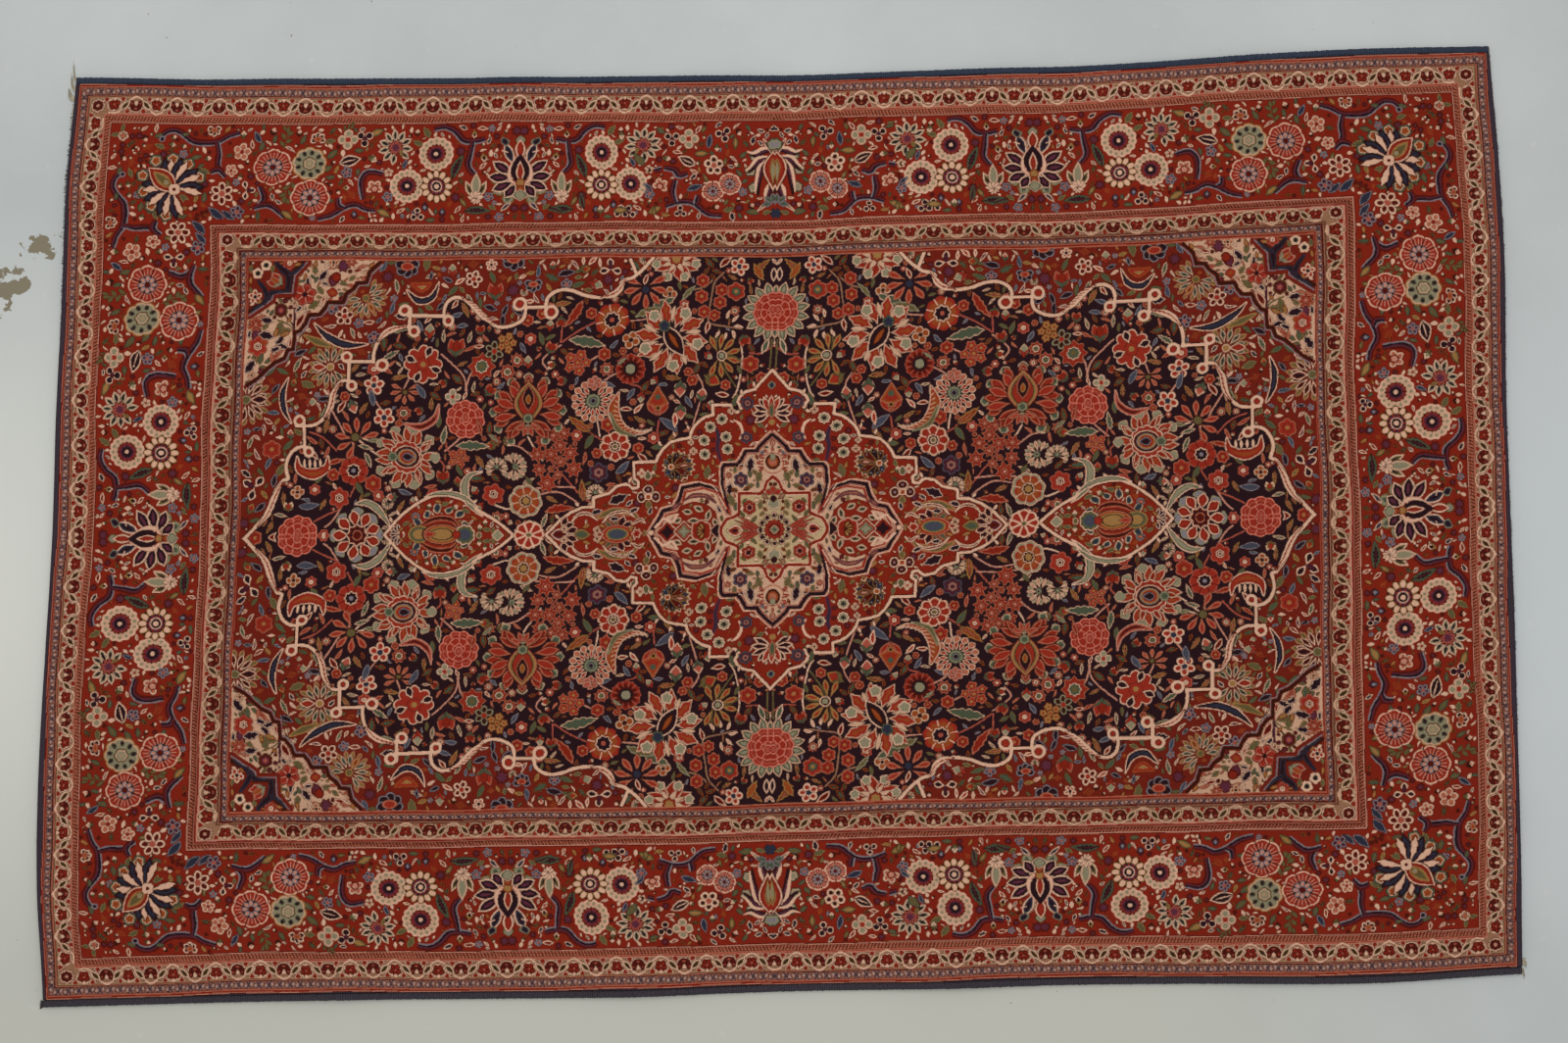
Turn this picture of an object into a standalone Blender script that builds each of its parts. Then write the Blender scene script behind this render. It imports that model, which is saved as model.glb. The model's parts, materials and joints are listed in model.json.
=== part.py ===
"""A hand-knotted medallion rug with its side cords and worn warp ends, laid flat on a floor.

Each piece is modelled straight and true in the loom's frame, where X runs along the rug,
Y across it and Z is the height above the cloth's underside. lay_on_floor() then gives it
the bowed edges and the low ripples with which the old rug lies. Units are metres.
"""

import random
from collections import namedtuple
from math import cos, pi

import bmesh
import bpy
from mathutils import Matrix, Vector

MM = 0.001

# The rug in the loom's frame
LENGTH = 2.120
WIDTH = 1.346
THICKNESS = 0.008  # cotton foundation and wool pile together
SHOULDER = 0.0015  # how far the pile's top edge is rounded over
CELLS_ALONG = 48
CELLS_ACROSS = 30
GAP = 0.0003  # between two pieces that touch

# The overcast side cords
CORD_WIDTH = 0.011
CORD_HEIGHT = 0.008
CORD_SIDES = 8

# The worn warp ends: a heading of weft, and locks of cotton warp that stand out of it
HEADING_WIDTH = 0.0015
HEADING_HEIGHT = 0.0016
LOCKS_PER_END = 100
LOCK_SHARE = 0.68  # of the pitch
LOCK_TIP = 0.55  # the tip's size, as a share of the root's
LOCK_LEAN = 0.0012  # how far a tip may lie to either side of its root
SHORTEST_LOCK, LONGEST_LOCK = 0.7, 1.2  # as shares of the length that the tables give

# Corners of the rug as it lies, from the far left one round to the near left one
FAR_LEFT = Vector((-1035, 678)) * MM
FAR_RIGHT = Vector((1065, 678)) * MM
NEAR_RIGHT = Vector((1035, -678)) * MM
NEAR_LEFT = Vector((-1065, -678)) * MM

# How far each side bows out past the straight line between its corners, at even steps
FAR_BOW_MM = (0, -8, -11, -15, -17, -21, -18, -17, -9, 0, 0)  # from left to right
NEAR_BOW_MM = (0, -1, -1, 2, 4, 1, 2, 1, 4, 8, 0)  # from left to right
LEFT_BOW_MM = (0, 9, 9.5, 12, 11, 15, 18.5, 15, 0)  # from far to near
RIGHT_BOW_MM = (0, 8, 11.5, 7, 6.5, 7, 5.5, 4, 0)  # from far to near

# Ripples that rise at a long side, 1 for the far one, and die out inwards
Ripple = namedtuple("Ripple", "along_mm side half_width_mm reach_mm height_mm")
RIPPLES = (
    Ripple(-770, 1, 120, 250, 3.0),
    Ripple(-400, 1, 110, 290, 4.5),
    Ripple(-90, 1, 130, 240, 3.5),
    Ripple(330, 1, 120, 270, 4.0),
    Ripple(690, 1, 140, 300, 3.5),
    Ripple(-640, -1, 130, 240, 3.5),
    Ripple(-210, -1, 120, 210, 3.0),
    Ripple(250, -1, 140, 260, 4.0),
    Ripple(700, -1, 130, 250, 3.0),
)

# Length of the warp ends, at even steps from the far corner to the near one
LEFT_WARPS_MM = (4.5, 4.5, 3.5, 1.8, 1.5, 1.5, 1.6, 2.2, 2.4, 2.0)
RIGHT_WARPS_MM = (3.0, 3.5, 3.2, 3.0, 3.4, 3.6, 3.2, 2.6, 2.4, 2.4)

# Loose warps that hang on at the corners. End 1 is the right one, and side 1 the far one
Tuft = namedtuple("Tuft", "end side out_mm across_mm")
TUFTS = (
    Tuft(-1, 1, 7.0, 29.0),
    Tuft(-1, 1, 10.0, 21.0),
    Tuft(-1, 1, 13.0, 12.0),
    Tuft(-1, -1, 7.0, 3.0),
    Tuft(1, -1, 5.0, 8.0),
    Tuft(1, -1, 9.0, 3.0),
)

# The stretches of a loose warp, which bends from running out to running across
Stretch = namedtuple("Stretch", "out_share across_share tip_size")
TUFT_BEND = (
    Stretch(0.6, 0.15, 0.5),
    Stretch(0.3, 0.35, 0.8),
    Stretch(0.1, 0.5, 0.5),
)

COLOURS = {
    "madder_wool": ((0.19, 0.035, 0.025, 1.0), 0.95),
    "navy_wool": ((0.016, 0.02, 0.045, 1.0), 0.9),
    "cotton_warp": ((0.55, 0.48, 0.36, 1.0), 0.95),
}


def smooth_step_table(values, share):
    """The value at a share of the way along a table of even steps, on a smooth curve through them."""
    last = len(values) - 1
    place = min(max(share, 0.0), 1.0) * last
    i = min(int(place), last - 1)
    t = place - i
    a, b, c, d = (values[min(max(k, 0), last)] for k in (i - 1, i, i + 1, i + 2))
    return b + 0.5 * t * (c - a + t * (2 * a - 5 * b + 4 * c - d + t * (3 * (b - c) + d - a)))


def side_point(start, end, bow_mm, outward, share):
    """A point on one bowed side of the rug."""
    return start.lerp(end, share) + outward * (smooth_step_table(bow_mm, share) * MM)


def floor_place(along, across):
    """Where a point of the loom's frame lies on the floor: a surface patch between the four sides."""
    s = along / LENGTH + 0.5
    t = 0.5 - across / WIDTH
    far = side_point(FAR_LEFT, FAR_RIGHT, FAR_BOW_MM, Vector((0, 1)), s)
    near = side_point(NEAR_LEFT, NEAR_RIGHT, NEAR_BOW_MM, Vector((0, -1)), s)
    left = side_point(FAR_LEFT, NEAR_LEFT, LEFT_BOW_MM, Vector((-1, 0)), t)
    right = side_point(FAR_RIGHT, NEAR_RIGHT, RIGHT_BOW_MM, Vector((1, 0)), t)
    corners = FAR_LEFT.lerp(FAR_RIGHT, s).lerp(NEAR_LEFT.lerp(NEAR_RIGHT, s), t)
    return far.lerp(near, t) + left.lerp(right, s) - corners


def bell(t):
    """1 at 0, and 0 from 1 on, with no corner at either."""
    return (cos(pi * t) + 1) / 2 if abs(t) < 1 else 0.0


def lift(along, across):
    """How high the ripples carry the cloth off the floor."""
    height = 0.0
    for ripple in RIPPLES:
        sideways = (along / MM - ripple.along_mm) / ripple.half_width_mm
        inward = (WIDTH / 2 - ripple.side * across) / MM / ripple.reach_mm
        height += ripple.height_mm * MM * bell(sideways) * bell(inward)
    return height


def lay_on_floor(bm):
    """Moves a piece from the loom's frame to the floor."""
    for vert in bm.verts:
        along, across, height = vert.co
        x, y = floor_place(along, across)
        vert.co = (x, y, height + lift(along, across))


def finish(bm, name, colour):
    """Turns a laid piece into an object with its own material."""
    bmesh.ops.recalc_face_normals(bm, faces=bm.faces)
    if bm.calc_volume(signed=True) < 0:
        bmesh.ops.reverse_faces(bm, faces=bm.faces)
    mesh = bpy.data.meshes.new(name)
    bm.to_mesh(mesh)
    bm.free()
    mesh.materials.append(material(colour))
    piece = bpy.data.objects.new(name, mesh)
    bpy.context.scene.collection.objects.link(piece)
    return piece


def material(name):
    """A plain finish of that name, made once."""
    found = bpy.data.materials.get(name)
    if found:
        return found
    colour, roughness = COLOURS[name]
    made = bpy.data.materials.new(name)
    made.use_nodes = True
    shader = made.node_tree.nodes["Principled BSDF"]
    shader.inputs["Base Color"].default_value = colour
    shader.inputs["Roughness"].default_value = roughness
    shader.inputs["Metallic"].default_value = 0.0
    return made


def raised(bm, faces, rise):
    """Extrudes a flat sheet of faces upwards and gives the faces of its new top."""
    made = bmesh.ops.extrude_face_region(bm, geom=faces)["geom"]
    top = [e for e in made if isinstance(e, bmesh.types.BMFace)]
    verts = [e for e in made if isinstance(e, bmesh.types.BMVert)]
    bmesh.ops.translate(bm, vec=(0, 0, rise), verts=verts)
    return top


def knotted_cloth():
    """The knotted cloth between the side cords, one slab with a sloped top rim."""
    half_length = LENGTH / 2
    half_width = WIDTH / 2 - CORD_WIDTH - GAP
    bm = bmesh.new()
    bmesh.ops.create_grid(bm, x_segments=CELLS_ALONG, y_segments=CELLS_ACROSS, size=1.0)
    bmesh.ops.scale(bm, vec=(half_length, half_width, 1), verts=bm.verts)
    shoulder = raised(bm, bm.faces[:], THICKNESS - SHOULDER)
    top = raised(bm, shoulder, SHOULDER)
    bmesh.ops.delete(bm, geom=shoulder, context="FACES_ONLY")  # they now lie inside the slab
    tolerance = SHOULDER / 10
    for vert in {v for f in top for v in f.verts}:
        if half_length - abs(vert.co.x) < tolerance:
            vert.co.x *= 1 - SHOULDER / half_length
        if half_width - abs(vert.co.y) < tolerance:
            vert.co.y *= 1 - SHOULDER / half_width
    lay_on_floor(bm)
    return finish(bm, "carpet", "madder_wool")


def side_cord(name, side):
    """One overcast side cord: a flattened round bar along a long side."""
    bm = bmesh.new()
    bmesh.ops.create_cone(
        bm, cap_ends=True, segments=CORD_SIDES, radius1=1, radius2=1, depth=2
    )
    # Turned by half a side, the bar stands on a flat, and its flats set its width and height.
    bmesh.ops.rotate(bm, matrix=Matrix.Rotation(pi / CORD_SIDES, 3, "Z"), verts=bm.verts)
    flats = cos(pi / CORD_SIDES)
    long_edges = [e for e in bm.edges if abs(e.verts[0].co.z - e.verts[1].co.z) > 1]
    bmesh.ops.subdivide_edges(bm, edges=long_edges, cuts=CELLS_ALONG - 1, use_grid_fill=True)
    middle = side * (WIDTH - CORD_WIDTH) / 2
    for vert in bm.verts:
        turned_y, turned_z, along = vert.co
        vert.co = (
            along * LENGTH / 2,
            middle + turned_y * CORD_WIDTH / 2 / flats,
            (turned_z / flats + 1) * CORD_HEIGHT / 2,
        )
    lay_on_floor(bm)
    return finish(bm, name, "navy_wool")


def heading(end):
    """The bar of weft past an end of the cloth, cut into a cell for each lock and one for each space."""
    cells = 2 * LOCKS_PER_END - 1
    inner = LENGTH / 2 + GAP
    bm = bmesh.new()
    bmesh.ops.create_cube(bm, size=1)
    across_edges = [e for e in bm.edges if abs(e.verts[0].co.y - e.verts[1].co.y) > 0.5]
    bmesh.ops.subdivide_edges(bm, edges=across_edges, cuts=cells - 1, use_grid_fill=True)
    pitch = WIDTH / (LOCKS_PER_END - 1 + LOCK_SHARE)
    for vert in bm.verts:
        pair, second = divmod(round((vert.co.y + 0.5) * cells), 2)
        vert.co = (
            end * (inner + HEADING_WIDTH * (0.5 + end * vert.co.x)),
            -WIDTH / 2 + pitch * (pair + LOCK_SHARE * second),
            HEADING_HEIGHT * (vert.co.z + 0.5),
        )
    return bm


def draw_out(bm, face, move, size):
    """Extrudes a face by a move, its end that much of its size and flat on the floor."""
    made = bmesh.ops.extrude_discrete_faces(bm, faces=[face])["faces"][0]
    middle = made.calc_center_median()
    for vert in made.verts:
        vert.co = middle + (vert.co - middle) * size + Vector(move)
    drop = min(v.co.z for v in made.verts)
    for vert in made.verts:
        vert.co.z -= drop
    return made


def tufts_by_lock(end):
    """The loose warps at one end of the rug, each by the lock that it takes the place of."""
    places = {}
    for side in (1, -1):
        tufts = [tuft for tuft in TUFTS if (tuft.end, tuft.side) == (end, side)]
        for place, tuft in enumerate(tufts):
            places[LOCKS_PER_END - 1 - place if side > 0 else place] = tuft
    return places


def warp_ends(name, end, lengths_mm):
    """The heading at one end of the rug and its worn locks of warp, one body."""
    chance = random.Random(name)
    bm = heading(end)
    bm.normal_update()
    outer = [f for f in bm.faces if f.normal.x * end > 0.9]
    outer.sort(key=lambda f: f.calc_center_median().y)
    tufts = tufts_by_lock(end)
    for lock, tip in enumerate(outer[::2]):
        if lock in tufts:
            out = end * tufts[lock].out_mm * MM
            over = tufts[lock].side * tufts[lock].across_mm * MM
            for stretch in TUFT_BEND:
                move = (out * stretch.out_share, over * stretch.across_share, 0)
                tip = draw_out(bm, tip, move, stretch.tip_size)
            continue
        share = 0.5 - tip.calc_center_median().y / WIDTH
        length = smooth_step_table(lengths_mm, share) * MM
        length *= chance.uniform(SHORTEST_LOCK, LONGEST_LOCK)
        lean = chance.uniform(-LOCK_LEAN, LOCK_LEAN)
        draw_out(bm, tip, (end * length, lean, 0), LOCK_TIP)
    lay_on_floor(bm)
    return finish(bm, name, "cotton_warp")


def centre_over_origin(pieces):
    """Moves all pieces together, so that the origin is at the middle of their box's underside."""
    points = [vert.co for piece in pieces for vert in piece.data.vertices]
    low = Vector(min(p[i] for p in points) for i in range(3))
    high = Vector(max(p[i] for p in points) for i in range(3))
    shift = Vector(((low.x + high.x) / -2, (low.y + high.y) / -2, -low.z))
    for piece in pieces:
        for vert in piece.data.vertices:
            vert.co += shift


def main():
    for found in list(bpy.data.objects):
        bpy.data.objects.remove(found)
    pieces = [
        knotted_cloth(),
        side_cord("selvedge_far", 1),
        side_cord("selvedge_near", -1),
        warp_ends("fringe_left", -1, LEFT_WARPS_MM),
        warp_ends("fringe_right", 1, RIGHT_WARPS_MM),
    ]
    centre_over_origin(pieces)


main()
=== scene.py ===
"""A hand-knotted wool medallion rug on a plain floor: its pile, knotted back, side cords and warp ends.

The design is drawn as a weaver's chart for a quarter of the rug, with motifs and bands of
wool in millimetres, and each knot of the pile takes its wool from it. Meshes are in metres,
X along the rug and Y across it.
"""

import json
import random
from collections import namedtuple
from functools import partial
from math import ceil, cos, hypot, log, pi, radians, sin, sqrt

import bmesh
import bpy
import numpy as np
from mathutils import Matrix, Vector

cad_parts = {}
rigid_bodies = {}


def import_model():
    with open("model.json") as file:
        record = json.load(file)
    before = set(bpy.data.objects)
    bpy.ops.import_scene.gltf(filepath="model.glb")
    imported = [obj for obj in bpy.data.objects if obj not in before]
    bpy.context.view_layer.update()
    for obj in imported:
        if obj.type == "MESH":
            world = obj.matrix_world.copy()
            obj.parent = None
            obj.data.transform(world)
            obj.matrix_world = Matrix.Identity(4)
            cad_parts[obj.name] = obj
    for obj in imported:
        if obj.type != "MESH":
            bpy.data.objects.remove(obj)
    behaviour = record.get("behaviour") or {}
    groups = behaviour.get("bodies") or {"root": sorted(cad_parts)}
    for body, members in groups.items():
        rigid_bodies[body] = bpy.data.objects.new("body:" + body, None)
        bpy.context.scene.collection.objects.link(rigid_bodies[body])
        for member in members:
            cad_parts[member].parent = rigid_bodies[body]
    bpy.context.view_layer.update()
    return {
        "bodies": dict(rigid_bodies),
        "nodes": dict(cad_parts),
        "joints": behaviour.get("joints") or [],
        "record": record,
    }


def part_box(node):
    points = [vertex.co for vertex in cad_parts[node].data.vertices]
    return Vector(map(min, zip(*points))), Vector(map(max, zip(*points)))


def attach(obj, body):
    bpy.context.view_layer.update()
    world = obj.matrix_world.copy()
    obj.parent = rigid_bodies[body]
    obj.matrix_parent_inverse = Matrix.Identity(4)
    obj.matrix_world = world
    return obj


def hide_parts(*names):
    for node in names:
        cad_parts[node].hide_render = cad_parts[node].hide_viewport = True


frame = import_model()


STEP = 0.6  # mm of cloth that one step of the chart stands for

WOOLS = {
    "navy": "271519", "ink": "2b2b38", "brown": "34170f", "wine": "50160f", "madder": "7b2214",
    "coral": "8c291c", "rose": "9c4a3a", "pink": "b87d68", "salmon": "a35c45", "blush": "cb7460",
    "ivory": "d0a489", "cream": "c0967a", "sage": "837a60", "moss": "5e5030", "green": "474d3a",
    "gold": "926a3c", "orange": "8a401d", "lilac": "885a4e", "blue": "3f404a", "haze": "7a7074",
    "violet": "461d27", "tan": "8f654c", "stone": "9c8262", "dusk": "572936", "crimson": "6a1f14",
    "rust": "8f5440", "umber": "653a2a", "plum": "3a3038", "mauve": "a27e72", "straw": "b0956f",
}
WOOL_INDEX = {name: index for index, name in enumerate(WOOLS)}
NAVY = WOOL_INDEX["navy"]

HALF_LENGTH, HALF_WIDTH = 1048, 684  # of the design, in mm, from its edge to its middle
RIM_MM = 0.7  # the dark line around each petal and leaf
STRAIGHT = 99  # mm between a line's points, so long that its steps stay straight


def bands_of(text):
    """Reads "-1 brown 1 ivory 2 navy" as the depths inside a shape where each wool begins."""
    depth, found = 0.0, []
    for word in text.split():
        if word in WOOL_INDEX:
            found.append((depth, WOOL_INDEX[word]))
        else:
            depth += float(word)
    return found


BANDS = {}  # what has been read from each text of bands


class Chart:
    """A sheet of coloured steps: x runs along the rug and y across it, both in mm."""

    def __init__(self, width, height, ground):
        self.cells = np.full((ceil(height / STEP), ceil(width / STEP)), WOOL_INDEX[ground], np.uint8)

    def fill(self, low, high, depth, bands):
        """Paints bands of wool from the edge of a shape inwards, by how deep inside it a point lies."""
        rows, columns = self.cells.shape
        left, top = (max(int(v / STEP), 0) for v in low)
        right, bottom = min(int(high[0] / STEP) + 2, columns), min(int(high[1] / STEP) + 2, rows)
        if left >= right or top >= bottom:
            return
        x = (np.arange(left, right) + 0.5)[None, :] * STEP
        y = (np.arange(top, bottom) + 0.5)[:, None] * STEP
        inside = depth(x, y)
        window = self.cells[top:bottom, left:right]
        if bands not in BANDS:
            BANDS[bands] = bands_of(bands)
        for start, wool in BANDS[bands]:
            window[inside > start] = wool

    def row(self, top, bottom, wool):
        self.cells[round(top / STEP):round(bottom / STEP)] = WOOL_INDEX[wool]

    def line(self, points, widths, bands, every=2.5):
        """A line through points of the chart."""
        if isinstance(points, str):
            points = points_of(points)
        Pen(self).stroke([(x, -y) for x, y in points], widths, bands, every)

    def outline(self, points, *bands, shift=(0, 0)):
        """Lines of the given widths and wools, one over the other, along an edge of straight steps."""
        for width, wool in bands:
            self.line([(x + shift[0], y + shift[1]) for x, y in points], width, wool, STRAIGHT)

    def polygon(self, points, bands):
        """A closed outline of straight sides."""
        points = np.array(points_of(points) if isinstance(points, str) else points, float)
        ends = np.roll(points, -1, axis=0)

        def depth(x, y):
            inside = np.zeros(np.broadcast(x, y).shape, bool)
            near = np.full(inside.shape, 1e9)
            for a, b in zip(points, ends):
                if a[1] != b[1]:
                    slope = (b[0] - a[0]) * (y - a[1]) / (b[1] - a[1])
                    inside ^= ((a[1] > y) != (b[1] > y)) & (x < a[0] + slope)
                near = np.minimum(near, from_segment(x, y, a, b)[0])
            return np.where(inside, near, -near)

        self.fill(points.min(0) - 3, points.max(0) + 3, depth, bands)


def points_of(text):
    """Reads "600 470, 594 448" as points, in mm."""
    return [tuple(float(word) for word in pair.split()) for pair in text.split(",")]


def smooth(points, every=2.5):
    """More points along the smooth curve through these."""
    points = [np.array(p, float) for p in points]
    last = len(points) - 1
    found = []
    for i in range(last):
        a, b, c, d = (points[min(max(i + k, 0), last)] for k in (-1, 0, 1, 2))
        steps = max(int(np.hypot(*(c - b)) / every), 1)
        for k in range(steps):
            t = k / steps
            found.append(
                b + 0.5 * t * (c - a + t * (2 * a - 5 * b + 4 * c - d + t * (3 * (b - c) + d - a)))
            )
    return found + [points[-1]]


def from_segment(x, y, a, b):
    """How far points lie from a straight segment, and how far along it the nearest place is."""
    dx, dy = b - a
    size = max(dx * dx + dy * dy, 1e-9)
    t = np.clip(((x - a[0]) * dx + (y - a[1]) * dy) / size, 0, 1)
    return np.hypot(x - a[0] - t * dx, y - a[1] - t * dy), t


class Pen:
    """Draws in a motif's own frame: u runs to its right and v towards its tip, both in mm."""

    def __init__(self, chart, x=0.0, y=0.0, turn=0.0, flip=1):
        self.chart, self.x, self.y = chart, x, y
        angle = radians(turn)
        self.right = np.array((flip * cos(angle), flip * sin(angle)))
        self.tip = np.array((sin(angle), -cos(angle)))

    def at(self, u=0.0, v=0.0, turn=0.0, flip=1):
        """A pen at a place of this one's frame, turned clockwise by so many degrees."""
        made = Pen(self.chart)
        made.x, made.y = self.place(u, v)
        angle = radians(turn)
        made.right = flip * (cos(angle) * self.right - sin(angle) * self.tip)
        made.tip = sin(angle) * self.right + cos(angle) * self.tip
        return made

    def around(self, count, reach, start=0.0, spread=360.0):
        """Pens that point outwards on an arc, at a reach from here."""
        steps = count if spread >= 360 else count - 1
        for k in range(count):
            turn = start + (spread * k / steps if spread >= 360 else spread * (k / steps - 0.5))
            angle = radians(turn)
            yield self.at(reach * sin(angle), reach * cos(angle), turn)

    def place(self, u, v):
        """Where a point of this pen's frame lies on the chart."""
        return np.array((self.x, self.y)) + u * self.right + v * self.tip

    def fill(self, reach, depth, bands, rim=0.0):
        """Fills a shape; a rim is a dark outline of that width around it."""

        def local(x, y):
            x, y = x - self.x, y - self.y
            return depth(x * self.right[0] + y * self.right[1], x * self.tip[0] + y * self.tip[1])

        if rim:
            bands = f"-{rim} brown {rim} {bands}"
        self.chart.fill((self.x - reach, self.y - reach), (self.x + reach, self.y + reach), local, bands)

    def disc(self, radius, bands):
        self.fill(radius + 2, lambda u, v: radius - np.hypot(u, v), bands)

    def oval(self, half_u, half_v, bands):
        least = min(half_u, half_v)
        self.fill(
            max(half_u, half_v) + 2,
            lambda u, v: (1 - np.hypot(u / half_u, v / half_v)) * least * 1.15,
            bands,
            RIM_MM,
        )

    def petal(self, length, width, bands, widest=0.5, bend=0.0, teeth=0):
        """A pointed petal or leaf from here towards the tip, which bends that far to the right."""
        power = log(0.5) / log(widest)

        def depth(u, v):
            t = np.clip(v / length, 0, 1)
            half = width / 2 * np.sin(pi * t**power)
            if teeth:
                half = half * (0.72 + 0.28 * np.abs(((t * teeth) % 1.0) * 2 - 1))
            side = np.abs(u - bend * t * t)
            return np.where((v > 0) & (v < length), (half - side) * 0.9, -9.0)

        self.fill(length + 2, depth, bands, RIM_MM)

    def petals(self, count, reach, length, width, bands, start=0.0, spread=360.0, **shape):
        """Equal petals that point outwards on an arc."""
        for part in self.around(count, reach, start, spread):
            part.petal(length, width, bands, **shape)

    def ovals(self, count, reach, half_u, half_v, bands, start=0.0, spread=360.0):
        for part in self.around(count, reach, start, spread):
            part.oval(half_u, half_v, bands)

    def lobes(self, radius, count, cut, bands, pointed=False, turn=0.0):
        """A round flower with a scalloped edge, or with a pointed one."""

        def depth(u, v):
            wave = np.abs(np.sin(count / 2 * (np.arctan2(u, v) - radians(turn))))
            if not pointed:
                wave = 1 - np.sqrt(np.maximum(1 - wave**2, 0))
                wave = np.where(wave > 0, wave, 0)
            return radius * (1 - cut * wave) - np.hypot(u, v)

        self.fill(radius + 2, depth, bands, RIM_MM)

    def spokes(self, count, inner, outer, width, wool, turn=0.0):
        def depth(u, v):
            away = np.hypot(u, v)
            angle = (np.arctan2(u, v) - radians(turn)) / (2 * pi / count)
            side = np.abs(angle - np.round(angle)) * 2 * pi / count * away
            return np.where((away > inner) & (away < outer), width / 2 - side, -1.0)

        self.fill(outer + 1, depth, wool)

    def box(self, half_u, half_v, bands):
        self.fill(
            hypot(half_u, half_v) + 2,
            lambda u, v: np.minimum(half_u - np.abs(u), half_v - np.abs(v)),
            bands,
        )

    def stroke(self, points, widths, bands, every=2.5):
        """A line through these points, of one width or of several that follow each other along it."""
        if isinstance(points, str):
            points = points_of(points)
        places = [self.place(u, v) for u, v in smooth(points, every)]
        widths = np.atleast_1d(widths)
        widths = np.interp(np.linspace(0, 1, len(places)), np.linspace(0, 1, len(widths)), widths)
        for start, wool in bands_of(bands):
            name = list(WOOLS)[wool]
            for a, b, wa, wb in zip(places, places[1:], widths, widths[1:]):

                def depth(x, y):
                    away, t = from_segment(x, y, a, b)
                    return (wa + (wb - wa) * t) / 2 - start - away

                room = max(wa, wb) / 2 + 1
                self.chart.fill(np.minimum(a, b) - room, np.maximum(a, b) + room, depth, name)


# ---------------------------------------------------------------- small motifs
def blossom(pen, size, petals=5, bands="ivory 2.2 madder", heart="navy", core=0.26, slim=1.0):
    """Separate round petals around a heart."""
    half = min(size * 0.43, size * 0.56 * sin(pi / petals) * 1.12) * slim
    pen.ovals(petals, size * 0.58, half, size * 0.42, bands)
    pen.disc(size * core, heart)


def rosette(
    pen, size, lobes=8, rim="ivory 2.4 pink", crease="", ring="haze", heart="wine", cut=0.1, ring_size=0.48,
    heart_size=0.2, pointed=False,
):
    """A full round flower: a scalloped rim of petals, an inner ring and a heart."""
    pen.lobes(size, lobes, cut, rim, pointed)
    if crease:
        pen.spokes(lobes, size * ring_size, size * 0.95, 1.5, crease, turn=180 / lobes)
    pen.lobes(size * ring_size, lobes, 0.16, ring, pointed=True)
    pen.disc(size * heart_size, heart)


def rose(pen, size):
    """The full-blown coral rose, drawn in fine light lines."""
    pen.lobes(size, 11, 0.09, "blush 1.7 coral 3 rose 2 coral")
    pen.spokes(11, size * 0.64, size * 0.93, 1.3, "blush", turn=16)
    pen.lobes(size * 0.64, 7, 0.1, "blush 1.4 coral")
    pen.spokes(7, size * 0.34, size * 0.62, 1.2, "blush", turn=26)
    for part in pen.around(3, size * 0.16, start=180, spread=150):
        part.disc(size * 0.17, "blush 1.3 coral")
    pen.at(0, size * 0.1).oval(size * 0.2, size * 0.26, "blush 1.3 coral 2 rose")


def fan(
    pen, size, petals=7, spread=230, bands="ivory 2 madder 3 coral", heart="sage 2 navy", back="", slim=1.0,
):
    """A flower seen from its side: petals that spread from a calyx at the back."""
    base = pen.at(0, -size * 0.35)
    if back:
        base.petals(
            petals + 1, size * 0.62, size * 0.66, size * 0.42, back, spread=spread * 1.12, widest=0.6,
        )
    base.petals(
        petals, size * 0.16, size * 1.12, size * 2.5 / petals * slim, bands, spread=spread, widest=0.68,
    )
    base.at(0, size * 0.16).disc(size * 0.3, heart)


def bud(pen, size, bands="ivory 2 madder 3 coral", calyx="moss"):
    """A closed bud on its calyx."""
    pen.at(0, -size * 0.35).petal(size * 1.3, size * 0.95, bands, widest=0.42)
    for side in (-1, 1):
        pen.at(0, -size * 0.5).petal(size * 0.9, size * 0.32, calyx, bend=side * size * 0.55)


def tulip(pen, size, bands="ivory 2 coral", inner="madder", calyx="green"):
    """An open cup of three petals."""
    base = pen.at(0, -size * 0.5)
    for side in (-1, 1):
        base.at(0, 0, side * 24).petal(
            size * 1.15, size * 0.55, bands, widest=0.55, bend=-side * size * 0.12,
        )
    base.petal(size, size * 0.42, inner, widest=0.6)
    for side in (-1, 1):
        base.petal(size * 0.55, size * 0.26, calyx, bend=side * size * 0.5)


def leaf(pen, size, bands="moss 2 sage", bend=0.0, slim=0.34, teeth=0, rib=""):
    """One leaf, with its middle here."""
    base = pen.at(-bend * size * 0.15, -size / 2)
    base.petal(size, size * slim, bands, widest=0.45, bend=bend * size, teeth=teeth)
    if rib:
        base.petal(size * 0.8, 1.6, rib, bend=bend * size * 0.64)


def sprig(pen, size, leaves=5, bands="moss", stem="moss", tip=""):
    """A little twig with a leaf on each side in turn."""
    pen.stroke([(0, -size / 2), (size * 0.08, 0), (0, size / 2)], (1.4, 1.4), stem)
    for k in range(leaves):
        side = 1 if k % 2 else -1
        pen.at(0, size * (k / leaves - 0.42), side * 48).petal(size * 0.42, size * 0.2, bands)
    if tip:
        pen.at(0, size / 2).disc(size * 0.16, tip)
    else:
        pen.at(0, size * 0.3).petal(size * 0.4, size * 0.2, bands)


def cluster(pen, size, bands="ivory 1.6 coral", heart="wine", count=6, petals=5):
    """Several little flowers together."""
    for k, part in enumerate([pen, *pen.around(count - 1, size * 0.62, start=20)]):
        part.lobes(size * 0.4, petals, 0.3, bands, pointed=k % 2 == 0, turn=k * 23)
        part.disc(size * 0.11, heart)


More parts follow.
